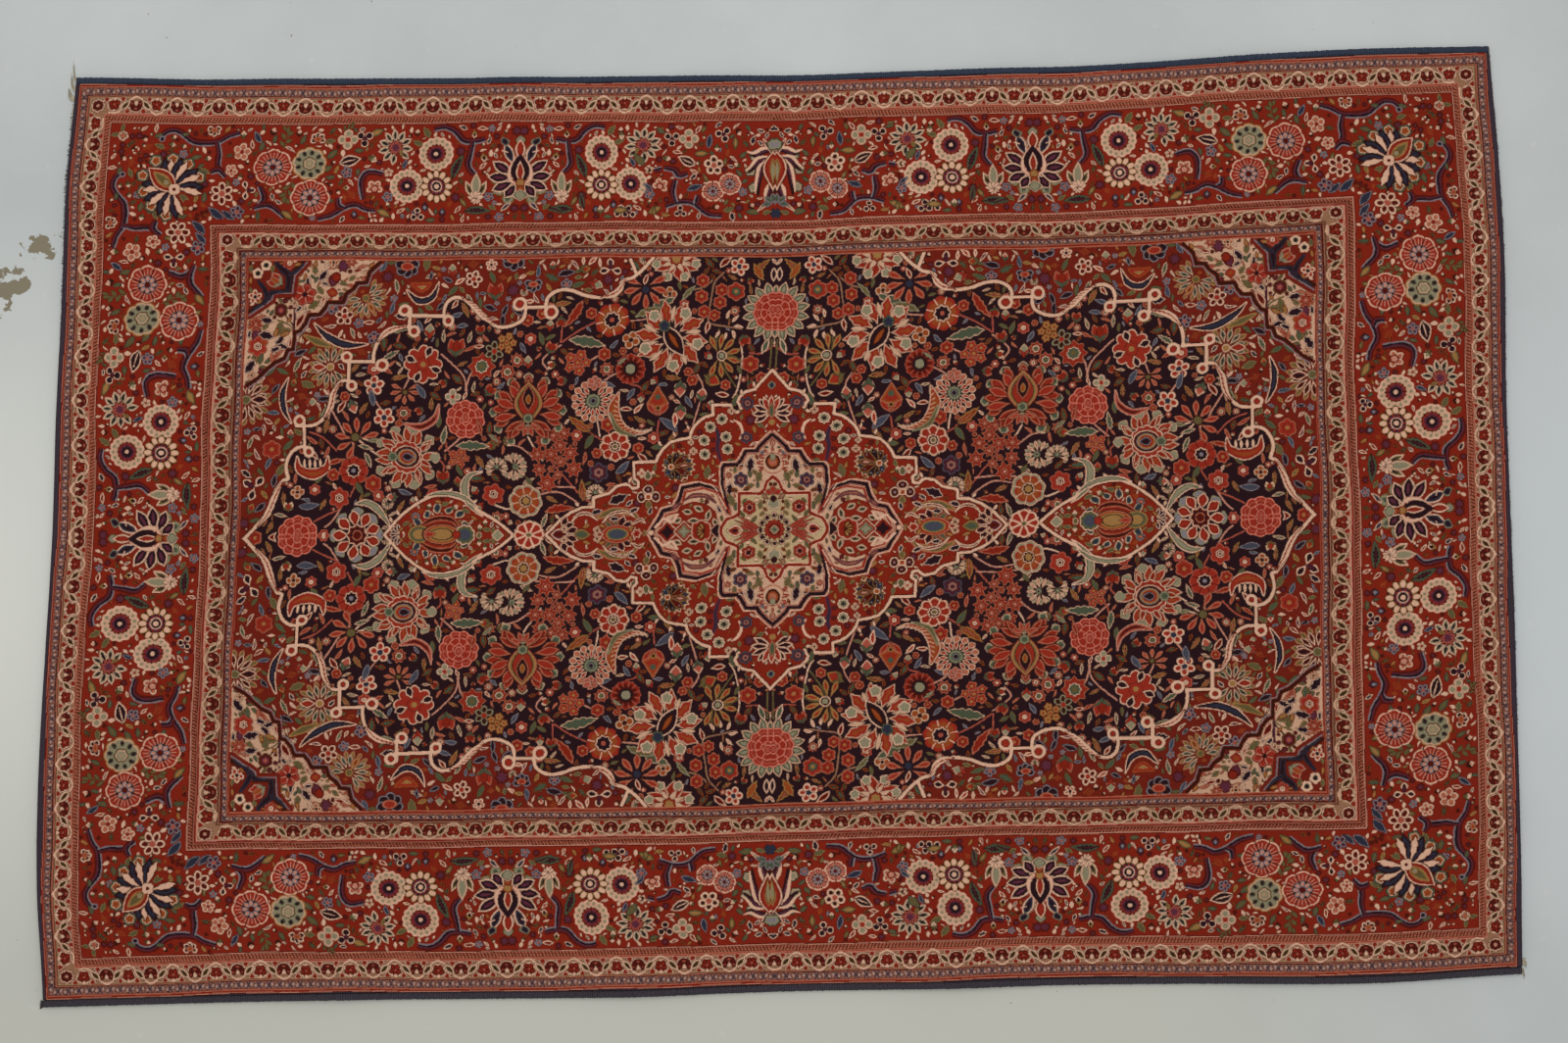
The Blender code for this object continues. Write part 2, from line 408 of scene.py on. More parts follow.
def branch(chart, points, side):
    """A navy stem with a light edge on one side, 1 for the upper one, and a ragged shadow on the other."""
    width = 4.6
    curve = smooth([(x, -y) for x, y in points])
    normals = []
    for behind, ahead in zip([curve[0], *curve], [*curve[1:], curve[-1]]):
        along = ahead - behind
        normals.append(np.array((along[1], -along[0])) / max(np.hypot(*along), 1e-6))
    pen = Pen(chart)
    for reach, wool in ((1.3, "wine"), (0.7, "dusk")):
        ragged = [
            place - normal * side * width * reach * (0.6 + 0.5 * (k % 2))
            for k, (place, normal) in enumerate(zip(curve, normals))
        ]
        pen.stroke(ragged[::2], (width * 0.6 * reach, width * 1.5 * reach, width * 0.6 * reach), wool)
    pen.stroke(curve[::2], (width * 0.6, width, width * 0.6), "navy")
    pen.stroke(
        [place + normal * side * width * 0.5 for place, normal in zip(curve, normals)][::2], 1.9, "haze",
    )


# ---------------------------------------------------------------- guards and stripes of the frame
# each stripe's far edge, as a depth from the far side in mm, and its wool
FAR_STRIPES = """
10.9 plum, 11.8 wine, 13.4 pink, 15.8 madder, 17.2 salmon, 18.0 wine, 28.4 lilac, 29.4 brown, 30.6 salmon,
31.8 umber, 32.8 stone, 55.6 tan, 57.2 pink, 58.4 coral, 59.8 salmon, 60.6 wine, 67.6 salmon, 68.3 wine,
69.7 pink, 70.8 wine, 221.6 madder, 222.6 wine, 224.2 pink, 225.2 wine, 229.8 salmon, 231.0 wine,
232.6 rust, 233.4 wine, 234.6 coral, 235.4 wine, 237.4 pink, 258.0 tan, 260.4 umber, 261.4 tan, 264.0 wine,
270.4 lilac, 271.2 umber, 272.8 rust, 275.6 madder, 277.2 salmon
"""


def meander_guard(chart, start, middle, deep, vine, dark):
    """A light vine that runs over one dark flower and under the next, with a leaf on each slope."""
    count = round((HALF_LENGTH - start) / 32)
    pitch = (HALF_LENGTH - start) / count
    half = deep / 2
    sides = [1 if k % 2 else -1 for k in range(count + 1)]
    for k, side in enumerate(sides):
        pen = Pen(chart, start + k * pitch, middle, 0 if side > 0 else 180)
        for u in (-12, 12):
            pen.at(u, -half).petal(8.5, 10, f"{vine} 1.1 madder", widest=0.2)
    route = [
        (start + k * pitch + u, side * (half - 1.6))
        for k, side in enumerate(sides)
        for u in (-6.5, 6.5)
    ]
    line = Pen(chart, 0, middle)
    line.stroke(route, 4.0, "umber")
    line.stroke(route, 2.8, vine)
    for k, side in enumerate(sides):
        pen = Pen(chart, start + k * pitch, middle, 0 if side > 0 else 180)
        if side > 0:
            pen.at(0, -2.2).oval(10.6, 8.4, vine)
            pen.at(0, -3.2).oval(8.0, 5.6, dark)
            for u in (-6.4, 6.4):
                pen.at(u, 1.4).oval(3.8, 4.8, dark)
                pen.at(u, 2.6).disc(1.1, "rose")
            pen.at(0, -1.6).petal(8, 5.4, vine, widest=0.65)
            pen.at(0, -5.2).oval(2.6, 1.1, "rose")
        else:
            pen.at(0, -1.6).disc(10.0, vine)
            pen.at(0, -1.6).ovals(5, 4.7, 3.8, 4.1, f"{dark} 1.3 madder", start=36)
            pen.at(0, -1.6).disc(2.7, "wine 0.8 rose")
            pen.at(0, -half).petal(5, 6, vine, widest=0.3)
    for k in range(count):
        slope = Pen(chart, start + (k + 0.5) * pitch, middle, -43 * sides[k])
        slope.at(0, -10.5).petal(21, 10, f"{vine} 1.8 moss 1.2 green", widest=0.5)
        slope.at(0, -5).petal(10, 1.5, "brown")


def barber(chart, start, top, bottom, pitch):
    """Dark crosses along a narrow stripe, with pale flecks between them."""
    middle, half = (top + bottom) / 2, (bottom - top) / 2
    for k in range(round((HALF_LENGTH - start) / pitch) + 1):
        pen = Pen(chart, start + k * pitch, middle)
        for side in (-1, 1):
            pen.at(side * pitch * 0.3, -side * half * 0.2).oval(2.2, half * 0.5, "mauve")
            pen.stroke(
                [(-side * pitch * 0.2, -half * 0.9), (side * pitch * 0.2, half * 0.9)], 1.7, "plum",
                every=STRAIGHT,
            )
            pen.at(side * pitch * 0.34, side * half * 0.7).disc(1.0, "rust")
        pen.at(pitch * 0.5, 0).box(0.9, half * 0.75, "umber")


def rope(chart, start, top, bottom, pitch, dark):
    """A narrow stripe of slanting dashes, as on a twisted rope."""
    middle, half = (top + bottom) / 2, (bottom - top) / 2
    for k in range(round((HALF_LENGTH - start) / pitch) + 1):
        pen = Pen(chart, start + k * pitch, middle)
        pen.stroke([(-1.5, -half), (1.5, half)], 1.7, dark, every=STRAIGHT)
        pen.at(pitch * 0.5 - 0.4, -half * 0.2).disc(0.8, "coral")


def corner_rosette(chart, x, y, size):
    """The guard's corner flower: dark petals in a light ring."""
    pen = Pen(chart, x, y)
    pen.lobes(size, 8, 0.12, "ivory 1.6 umber")
    pen.ovals(6, size * 0.46, size * 0.24, size * 0.3, "wine")
    pen.disc(size * 0.2, "ivory 0.8 rose")


# ---------------------------------------------------------------- the main border's flowers
def pink_rosette(pen, size):
    """A scalloped coral flower with fine pink rays, and eight petals on its brown middle."""
    pen.lobes(size, 8, 0.09, "-1 wine 0 ivory 2.1 coral")
    pen.spokes(24, size * 0.5, size * 0.84, 1.3, "pink")
    pen.spokes(8, size * 0.5, size * 0.97, 1.5, "wine", turn=22.5)
    pen.disc(size * 0.5, "brown")
    pen.ovals(8, size * 0.33, size * 0.12, size * 0.17, "haze 1.2 pink")
    pen.disc(size * 0.16, "wine")


def pale_rosette(pen, size):
    """A scalloped cream flower with a ring of sage dots, and a toothed coral middle."""
    pen.lobes(size, 15, 0.08, "-1 wine 0 ivory 2.4 cream")
    for part in pen.around(15, size * 0.8):
        part.disc(size * 0.09, "sage")
    pen.lobes(size * 0.6, 16, 0.12, "brown 0.8 coral 2 dusk", pointed=True)
    pen.spokes(8, size * 0.3, size * 0.56, 1.2, "wine")
    pen.disc(size * 0.31, "navy")
    pen.disc(size * 0.12, "ivory")


def gold_rosette(pen, size):
    """A brown round with twelve golden petals, and a navy middle in an ivory ring."""
    pen.disc(size * 0.92, "brown")
    pen.ovals(12, size * 0.74, size * 0.17, size * 0.26, "gold 1 ivory")
    pen.lobes(size * 0.56, 12, 0.14, "brown 1.2 dusk", pointed=True)
    pen.spokes(10, size * 0.36, size * 0.54, 1.2, "coral")
    pen.disc(size * 0.34, "ivory 1.4 navy")
    pen.disc(size * 0.14, "ivory")


def dot_flower(pen, size):
    """A sage flower with a navy dot on each petal."""
    pen.lobes(size, 9, 0.1, "-1 wine 0 gold 1.8 cream 2 sage")
    pen.ovals(9, size * 0.68, 2.6, 3.6, "green 0.8 navy", start=12)
    pen.lobes(size * 0.4, 6, 0.14, "moss 1.4 cream 1.6 sage")
    pen.disc(size * 0.14, "stone")


def half_flower(pen, size, bands="ivory 2 navy", heart="salmon 2 orange"):
    pen.at(0, -size * 0.3).ovals(5, size * 0.42, size * 0.3, size * 0.36, bands, spread=200)
    pen.at(0, -size * 0.25).oval(size * 0.42, size * 0.26, heart)


def sharp_fan(pen, size):
    """Ten pointed navy petals edged in ivory and sage, on a rose heart."""
    pen.at(0, -size * 0.1).petals(
        10, size * 0.32, size * 0.78, size * 0.4, "ivory 1.5 sage 1.2 navy", spread=300, widest=0.5,
    )
    pen.at(0, -size * 0.1).lobes(size * 0.52, 9, 0.3, "wine 1.5 rose 3 dusk", pointed=True)
    pen.at(size * 0.2, -size * 0.8).petal(size * 0.5, size * 0.2, "gold 1 moss")


def trefoil(pen, size, bands="ivory 2 navy"):
    pen.petals(3, 0, size * 1.15, size * 0.72, bands, spread=200, widest=0.62)
    pen.petal(size * 0.8, size * 0.4, "violet")


def shell(pen, size):
    """A flower turned aside, pink within ivory."""
    pen.at(0, -size * 0.2).ovals(4, size * 0.5, size * 0.34, size * 0.4, "ivory 2 salmon", spread=220)
    pen.at(0, -size * 0.3).lobes(size * 0.42, 5, 0.2, "madder 1.5 pink")


def lotus_bud(pen, size):
    """An ivory bud between two dark leaves, with a toothed foot."""
    for side in (-1, 1):
        pen.at(side * size * 0.1, -size * 0.9, side * 26).petal(
            size * 1.5, size * 0.55, "ivory 1.8 moss 2 navy",
        )
    pen.at(0, -size * 0.9).petal(size * 2.0, size * 0.7, "cream 2.2 sage", widest=0.5)
    pen.at(0, -size * 0.9).petals(5, 2, size * 0.5, size * 0.3, "ivory", spread=150)
    pen.at(0, -size * 0.9).petals(4, 0, size * 0.45, size * 0.24, "ivory", start=180, spread=110)


def border_lotus(pen):
    """The big violet palmette between the rosette groups."""
    for turn in (-150, -118, -88, -58, 58, 88, 118, 150):
        pen.at(0, -10, turn).at(0, 20).petal(24, 20, "orange 1 moss 1.4 sage 4 green", widest=0.6)
    for turn, reach in (
        (-142, 32), (-112, 40), (-84, 44), (-56, 46), (56, 46), (84, 44), (112, 40), (142, 32),
    ):
        pen.at(0, -10, turn).at(0, 8).petal(reach - 4, 17, "ivory 2 navy 3.6 dusk", widest=0.58)
    for side in (-1, 1):
        pen.at(side * 8, 8, side * 22).petal(40, 15, "ivory 1.9 ink 2.4 navy", widest=0.6)
    pen.at(0, 38).petal(18, 15, "moss 1.4 sage 3 haze", widest=0.6)
    pen.at(0, 14).petal(36, 15, "ivory 2 madder 2.5 coral", widest=0.6)
    for side in (-1, 1):
        pen.stroke(
            [(side * 3, -20), (side * 15, -10), (side * 15, 6), (side * 6, 24)], (2, 6, 5, 2),
            "pink 1 ivory",
        )
    pen.at(0, -22).petal(50, 27, "navy", widest=0.5)
    pen.at(0, -14).petal(32, 12, "ivory 1.7 madder 2 coral", widest=0.45)
    pen.at(0, -16).lobes(7, 6, 0.2, "orange 1.6 gold")
    pen.at(0, -26).lobes(6, 6, 0.2, "madder 1 orange")
    pen.at(0, -26, 180).petal(18, 22, "ivory 1.5 green 2 sage", widest=0.5)
    for side in (-1, 1):
        pen.at(side * 21, 40, side * 8).petal(14, 13, "sage 1.4 ink 2 navy", bend=side * 4)
        pen.stroke([(side * 19, 31), (side * 27, 33)], 1.6, "ivory")
        pen.at(side * 12, -46, side * 118).petal(20, 7, "ivory 1.2 ink", bend=side * 5)


def corner_palmette(pen):
    """The corner's teardrop with its radiating blades, and green rounds between their tips."""
    pen = pen.at(0, -14)
    for turn, reach in (
        (-112, 44), (-76, 46), (-44, 50), (-16, 56), (16, 56), (44, 50), (76, 46), (112, 44),
    ):
        pen.at(0, 0, turn).at(0, reach - 3).lobes(10, 5, 0.16, "green 2.6 cream 1.6 orange")
    for turn in (-140, -104, -66, -34, 34, 66, 104, 140):
        side = 1 if turn > 0 else -1
        pen.at(0, 4, turn - side * 9).petal(48, 15, "navy 2.4 ink 3 navy", widest=0.6, bend=side * 6)
        pen.at(0, 4, turn + side * 6).petal(46, 12, "wine 0.8 ivory", widest=0.66, bend=side * 4, teeth=4)
    pen.at(0, -4).petal(58, 33, "wine 1 ivory 1.8 madder 3.2 coral 1.5 gold 3 moss", widest=0.45)
    pen.at(0, 16).lobes(5, 5, 0.2, "gold 1.4 sage")
    pen.at(0, 0).lobes(9, 4, 0.18, "ivory")
    pen.disc(2.6, "wine")


def upright_tulip(pen):
    """The drop-shaped flower on the border's middle, under drooping leaves."""
    for side in (-1, 1):
        for u, v in ((27, 26), (33, 2), (29, -24)):
            pen.at(side * u, v).lobes(8.5, 5, 0.2, "green 2 cream 1.4 sage")
        for path in (
            [(2, 34), (14, 34), (26, 28), (36, 30)],
            [(3, 22), (20, 20), (30, 8), (38, 2)],
            [(8, 18), (18, 6), (22, -14), (24, -34)],
            [(4, -20), (9, -34), (10, -46)],
        ):
            points = [(side * u, v) for u, v in path]
            pen.stroke([(u - side * 1.5, v - 2) for u, v in points], (4, 9, 7, 3), "brown 1 navy 2 dusk")
            pen.stroke([(u + side * 2, v + 2) for u, v in points], (1.5, 5, 4.5, 1.5), "ivory")
        pen.stroke([(side * 1, 30), (side * 8, 40), (side * 14, 50)], (4, 6, 3), "ivory 1.4 wine 0.8 navy")
        pen.stroke([(side * 3, -46), (side * 14, -52), (side * 24, -60)], (3, 6, 2), "ivory 1.4 green")
    pen.at(0, 42).lobes(9, 5, 0.2, "green 1.5 sage 3 haze")
    pen.at(0, -34).petal(66, 30, "wine 0.8 ivory 2 madder 3 coral 3 gold", widest=0.6)
    pen.at(0, -22).petal(40, 7, "gold 1.4 sage", widest=0.6)
    pen.at(0, -50).petals(5, 2, 15, 8, "haze 1.2 green", spread=180)
    pen.at(0, -56, 180).petal(16, 10, "ink")


def sparks(pen, size, wool="orange"):
    """A tuft of short strokes, such as edge a leaf."""
    for k in (-1, 0, 1):
        pen.stroke(
            [(k * size * 0.35 - size * 0.2, -size * 0.4), (k * size * 0.35 + size * 0.2, size * 0.4)], 1.3,
            wool, every=STRAIGHT,
        )


def smoke(pen, size):
    """A soft purple shadow on the red ground."""
    pen.lobes(size, 7, 0.3, "wine 2.2 dusk", pointed=True)


BORDER_KINDS = {
    "pink rosette": pink_rosette,
    "pale rosette": pale_rosette,
    "gold rosette": gold_rosette,
    "dot flower": dot_flower,
    "half flower": half_flower,
    "fan": sharp_fan,
    "trefoil": trefoil,
    "shell": shell,
    "lotus bud": lotus_bud,
    "white blossom": partial(blossom, petals=6, bands="ivory 2.6 wine", heart="rose"),
    "pale blossom": partial(blossom, bands="cream 2.5 pink", heart="madder"),
    "pink blossom": partial(blossom, bands="ivory 2 salmon", heart="madder", slim=1.1),
    "dusk blossom": partial(blossom, bands="haze 1.8 violet", heart="rose"),
    "cream blossom": partial(blossom, petals=4, bands="cream 3 sage", heart="coral", slim=1.05),
    "navy blossom": partial(blossom, petals=3, bands="ivory 1.5 navy", heart="violet"),
    "oval blossom": partial(blossom, bands="ivory 3.4 brown", heart="rose", slim=1.1),
    "ivory bud": partial(bud, bands="ivory 2.4 sage"),
    "rose bud": partial(bud, bands="ivory 2.2 pink 2 coral", calyx="brown"),
    "navy bud": partial(bud, bands="ivory 1.8 navy 3 orange", calyx="gold"),
    "dusk bud": partial(bud, bands="ink 2 haze", calyx="violet"),
    "green leaf": partial(leaf, bands="moss 1.8 gold", slim=0.42, bend=0.12),
    "olive leaf": partial(leaf, bands="green 1.5 moss", slim=0.45, bend=-0.15),
    "navy leaf": partial(leaf, bands="haze 1 ink", slim=0.4, bend=0.15),
    "edged leaf": partial(leaf, bands="ivory 1.8 navy", slim=0.5, bend=0.1, rib="ivory"),
    "serrated leaf": partial(leaf, bands="green 2.4 navy", slim=0.36, bend=0.2, teeth=7, rib="violet"),
    "sprig": sprig,
    "ivory drop": partial(leaf, bands="ivory", slim=0.55),
    "gold leaf": partial(leaf, bands="orange 1 gold 1.4 moss", slim=0.5, bend=0.1, teeth=4),
    "green rag": partial(leaf, bands="gold 0.9 green 1.2 moss", slim=0.55, bend=-0.1, teeth=3),
    "ink rag": partial(leaf, bands="ivory 1 ink 1 navy", slim=0.55, bend=0.1, teeth=3),
    "split leaf": partial(leaf, bands="ivory 1.3 madder 1 wine", slim=0.4, bend=0.2),
    "smoke": smoke,
    "sparks": sparks,
    "dark rag": partial(leaf, bands="orange 0.9 brown 1 green", slim=0.5, bend=0.15, teeth=4),
    "rose leaf": partial(leaf, bands="salmon 1.1 coral 1 madder", slim=0.4, bend=0.2, teeth=4),
    "curl": partial(leaf, bands="ivory 1.2 dusk", slim=0.3, bend=0.45),
}

# x, y, size and turn of each, in the far border's left part
BORDER_LEFT = """
half flower: 78 86 10, 216 82 14 180, 369 88 15
rose bud: 110 90 8 150, 302 82 9 20, 341 84 8 10, 519 85 8, 123 118 6
ivory bud: 150 100 8 100, 260 88 9, 206 122 8 80, 449 120 11 120, 168 102 7 110
olive leaf: 131 87 14 80, 205 180 16 20, 172 85 12 100, 348 92 16 40, 385 137 18 70, 392 115 20 60
olive leaf: 388 185 14 110, 390 150 14 90
pink blossom: 260 111 13 10, 245 139 10 30
navy leaf: 280 89 20 -40, 222 205 30 -60, 515 205 16, 240 208 24 -60, 500 130 16 10
sprig: 322 91 28 10, 330 170 30 -160, 412 75 16 60
green leaf: 456 82 24 60, 470 205 24 110, 350 205 16 20, 330 208 22 120, 590 190 16 140, 240 160 14 -20
green leaf: 436 212 12 90
white blossom: 231 174 18
trefoil: 268 169 13 90
dusk blossom: 254 203 11 10
pink rosette: 306 134 27, 361 181 27
dot flower: 358 129 25
cream blossom: 413 93 15
navy blossom: 438 91 13 60, 520 208 11
edged leaf: 418 124 34 70
pale blossom: 476 142 7
fan: 485 102 25 -20
pale rosette: 548 116 25, 504 164 25
gold rosette: 549 165 25
shell: 456 163 14
dusk bud: 425 210 10, 557 207 10, 531 193 10 180
navy bud: 602 86 9 180, 617 120 10 170, 411 165 8 90
lotus bud: 608 166 20
serrated leaf: 610 201 40 80, 578 135 40 10
rose bud: 272 140 5, 392 128 6 60, 640 180 5
"""

# the part on both sides of the border's middle
BORDER_MIDDLE = """
ivory bud: 887 125 9 100, 823 88 9 180, 790 207 10, 963 108 8 180
navy blossom: 896 95 12 60, 972 90 12 40, 832 209 11, 910 207 10
cream blossom: 921 96 15
edged leaf: 918 130 30 -70
oval blossom: 958 136 15
pink rosette: 956 175 15 20, 981 164 16
shell: 882 165 13 20
navy leaf: 930 169 24 60, 862 169 16 -60, 951 100 22, 968 113 8
green leaf: 943 82 12 20, 990 103 18 170, 940 118 22 80, 975 130 12 10, 945 155 14 -40, 870 207 14
green leaf: 975 192 12 20, 820 205 22 80
rose bud: 865 143 6 -80, 958 200 8 80, 993 85 8 150, 1010 200 8 60, 992 190 6 20
olive leaf: 1008 80 12 -20, 1013 208 20 -70, 880 84 14 120, 1002 120 14 60, 1004 160 12 60, 850 126 24 -30
serrated leaf: 725 203 26 100, 762 190 26 -20
"""

BORDER_BRANCHES = """
above: 136 92, 140 84, 152 80, 164 84, 182 97, 200 100, 223 98, 239 89, 254 84
below: 223 98, 227 114, 226 132, 233 148
above: 214 143, 225 140, 236 150
above: 288 164, 293 182, 284 196
above: 280 198, 302 195, 324 211
above: 467 143, 449 139, 438 145, 434 159, 438 184
above: 374 214, 392 209, 410 198, 426 193, 442 200, 456 202
below: 402 182, 404 192, 412 196
above: 544 79, 558 77, 572 84, 585 98, 601 100, 619 96
below: 601 100, 599 118, 597 134, 606 147
"""
MIDDLE_BRANCHES = """
above: 887 141, 900 145, 907 154, 919 150
above: 889 200, 910 193, 928 195, 937 202, 950 212, 968 214
below: 903 160, 901 178, 904 192
above: 934 182, 932 194
"""


def rows_of(table):
    """Splits a table's lines, each a key and what it stands for."""
    return [[word.strip() for word in line.split(":")] for line in table.strip().splitlines()]


def place_all(chart, table, kinds):
    """Draws a table's motifs: a kind, then the x, y and size of each, and its turn if it has one."""
    for kind, places in rows_of(table):
        for x, y, size, *turn in points_of(places):
            kinds[kind](Pen(chart, x, y, *turn), size)


def frame_chart():
    """The stripes, guards and main border along the far side, from the corner to the middle."""
    chart = Chart(HALF_LENGTH, 278, "ink")
    top = 0.0
    for stripe in FAR_STRIPES.split(","):
        bottom, wool = stripe.split()
        chart.row(top, float(bottom), wool)
        top = float(bottom)
    chart.row(277.2, 279, "crimson")
    barber(chart, 9.6, 18.0, 28.4, 14.4)
    barber(chart, 266, 264.0, 270.4, 13.4)
    rope(chart, 50, 60.8, 67.4, 4.8, "brown")
    rope(chart, 60, 225.2, 229.8, 4.8, "brown")
    meander_guard(chart, 60, 44.1, 23.4, "ivory", "wine")
    meander_guard(chart, 268, 247.8, 20.6, "cream", "wine")

    for side, points in rows_of(BORDER_BRANCHES):
        branch(chart, points_of(points), 1 if side == "above" else -1)
    place_all(chart, BORDER_LEFT, BORDER_KINDS)
    Pen(chart, 136, 92).disc(4.5, "haze 1.6 navy")
    border_lotus(Pen(chart, 671, 146))
    ground = np.ones(chart.cells.shape, bool)
    filler(chart, "madder", (72, 72, 670, 217), ground, BORDER_FILLER, 0.012, 31)
    mirror_part(chart, 670, 458, (70.5, 219))
    border_lotus(Pen(chart, 671, 146))
    for side, points in rows_of(MIDDLE_BRANCHES):
        branch(chart, points_of(points), 1 if side == "above" else -1)
    place_all(chart, BORDER_MIDDLE, BORDER_KINDS)
    upright_tulip(Pen(chart, HALF_LENGTH - 3, 147))
    filler(chart, "madder", (850, 72, HALF_LENGTH - 1, 217), ground, BORDER_FILLER, 0.012, 37)
    return chart


def mirror_part(chart, axis, start, rows):
    """Copies what lies between start and an axis to the axis's other side."""
    a, b = round(start / STEP), round(axis / STEP)
    top, bottom = round(rows[0] / STEP), round(rows[1] / STEP)
    chart.cells[top:bottom, b:2 * b - a] = chart.cells[top:bottom, a:b][:, ::-1]


# ---------------------------------------------------------------- the field
CUSPED_EDGE = [points_of(part) for part in """
276 688, 288 675, 305 655, 314 642, 321 620, 333 602;
333 602, 339 600, 337 590, 336 579, 342 564, 353 555, 365 553;
364 560, 364 514;
352 522.6, 366 523, 380 521, 392 512, 399 496, 401 483, 405 473, 412 462, 420 456, 428 456;
428.5 462, 428.5 426;
424 427.4, 463 427.4;
462 428, 462 414, 466 399, 476 386, 489 378.5, 504 375.6, 513 377;
511 380, 511 349;
508 359.5, 561 359.5;
561 362, 560 353, 563 342, 572 334, 583 333, 594 337, 607 348, 620 361, 633 371, 644 376.5, 659 376.5,
672 372, 680 365, 682 353, 681 344;
680 349.5, 711 349.5;
711 352, 711 346, 713 337, 722 329, 735 325, 750 327, 766 333, 781 336, 796 336, 809 332, 817 324, 819 315,
827 310, 836 308, 843 303;
843 303, 854 294, 868 278;
843 303, 834 281
""".split(";")]
# x, y and radius of each curl on the cusped line
EDGE_LOOPS = points_of("""
370 561 6.2, 357 515 6.8, 433.5 463 6.2, 424 420.5 6.2, 475 432 7.2, 518.5 382 6.5, 503 352 6.8,
567 366 6.4, 673 344 8.0, 719 357 8.2
""")
CORNER_OUTER = points_of("""
359 280, 341 300, 339 327, 311 327, 309 336, 274 358
""")
CORNER_INNER = points_of("""
464 280, 450 294, 446 310, 433 311, 428 319, 417 327, 413 340, 391 340, 387 349, 380 358, 365 359, 361 371,
352 382, 345 384, 343 408, 335 409, 330 421, 317 427, 304 438, 293 450, 277 460
""")
MEDALLION_EDGE = points_of("""
1048 444, 1039 455, 1030 465, 1024 473, 1009 477, 1000 485, 997 492, 1000 497, 1001 504, 997 508, 991 507,
988 502, 987 497, 960 497, 961 512, 950 515, 941 521, 933 529, 928 538, 926 546, 909 549, 896 553, 887 562,
880 573, 877 581, 846 582, 846 605, 852 610, 851 618, 843 620, 838 615, 833 613, 820 616, 809 626, 787 632,
787 645, 770 646, 752 653, 735 664, 722 677, 712 687
""")
PENDANT_EDGE = points_of("""
672 686, 652 669, 639 660, 622 651, 609 643, 593 632, 574 627, 554 627, 541 632, 528 640, 513 651, 500 664,
490 675, 480 686
""")
CORE_EDGE = points_of("""
1049 542, 1039 551, 1028 562, 1025 568, 1009 568, 1002 581, 996 588, 976 588, 972 594, 971 620, 980 657,
972 642, 967 631, 961 623, 939 616, 915 620, 911 636, 904 649, 887 653, 880 666, 872 679, 868 687
""")
STAR_EDGE = points_of("""
1049 605, 1039 614, 1035 625, 1028 631, 996 631, 996 660, 989 664, 978 668, 971 679, 970 687
""")

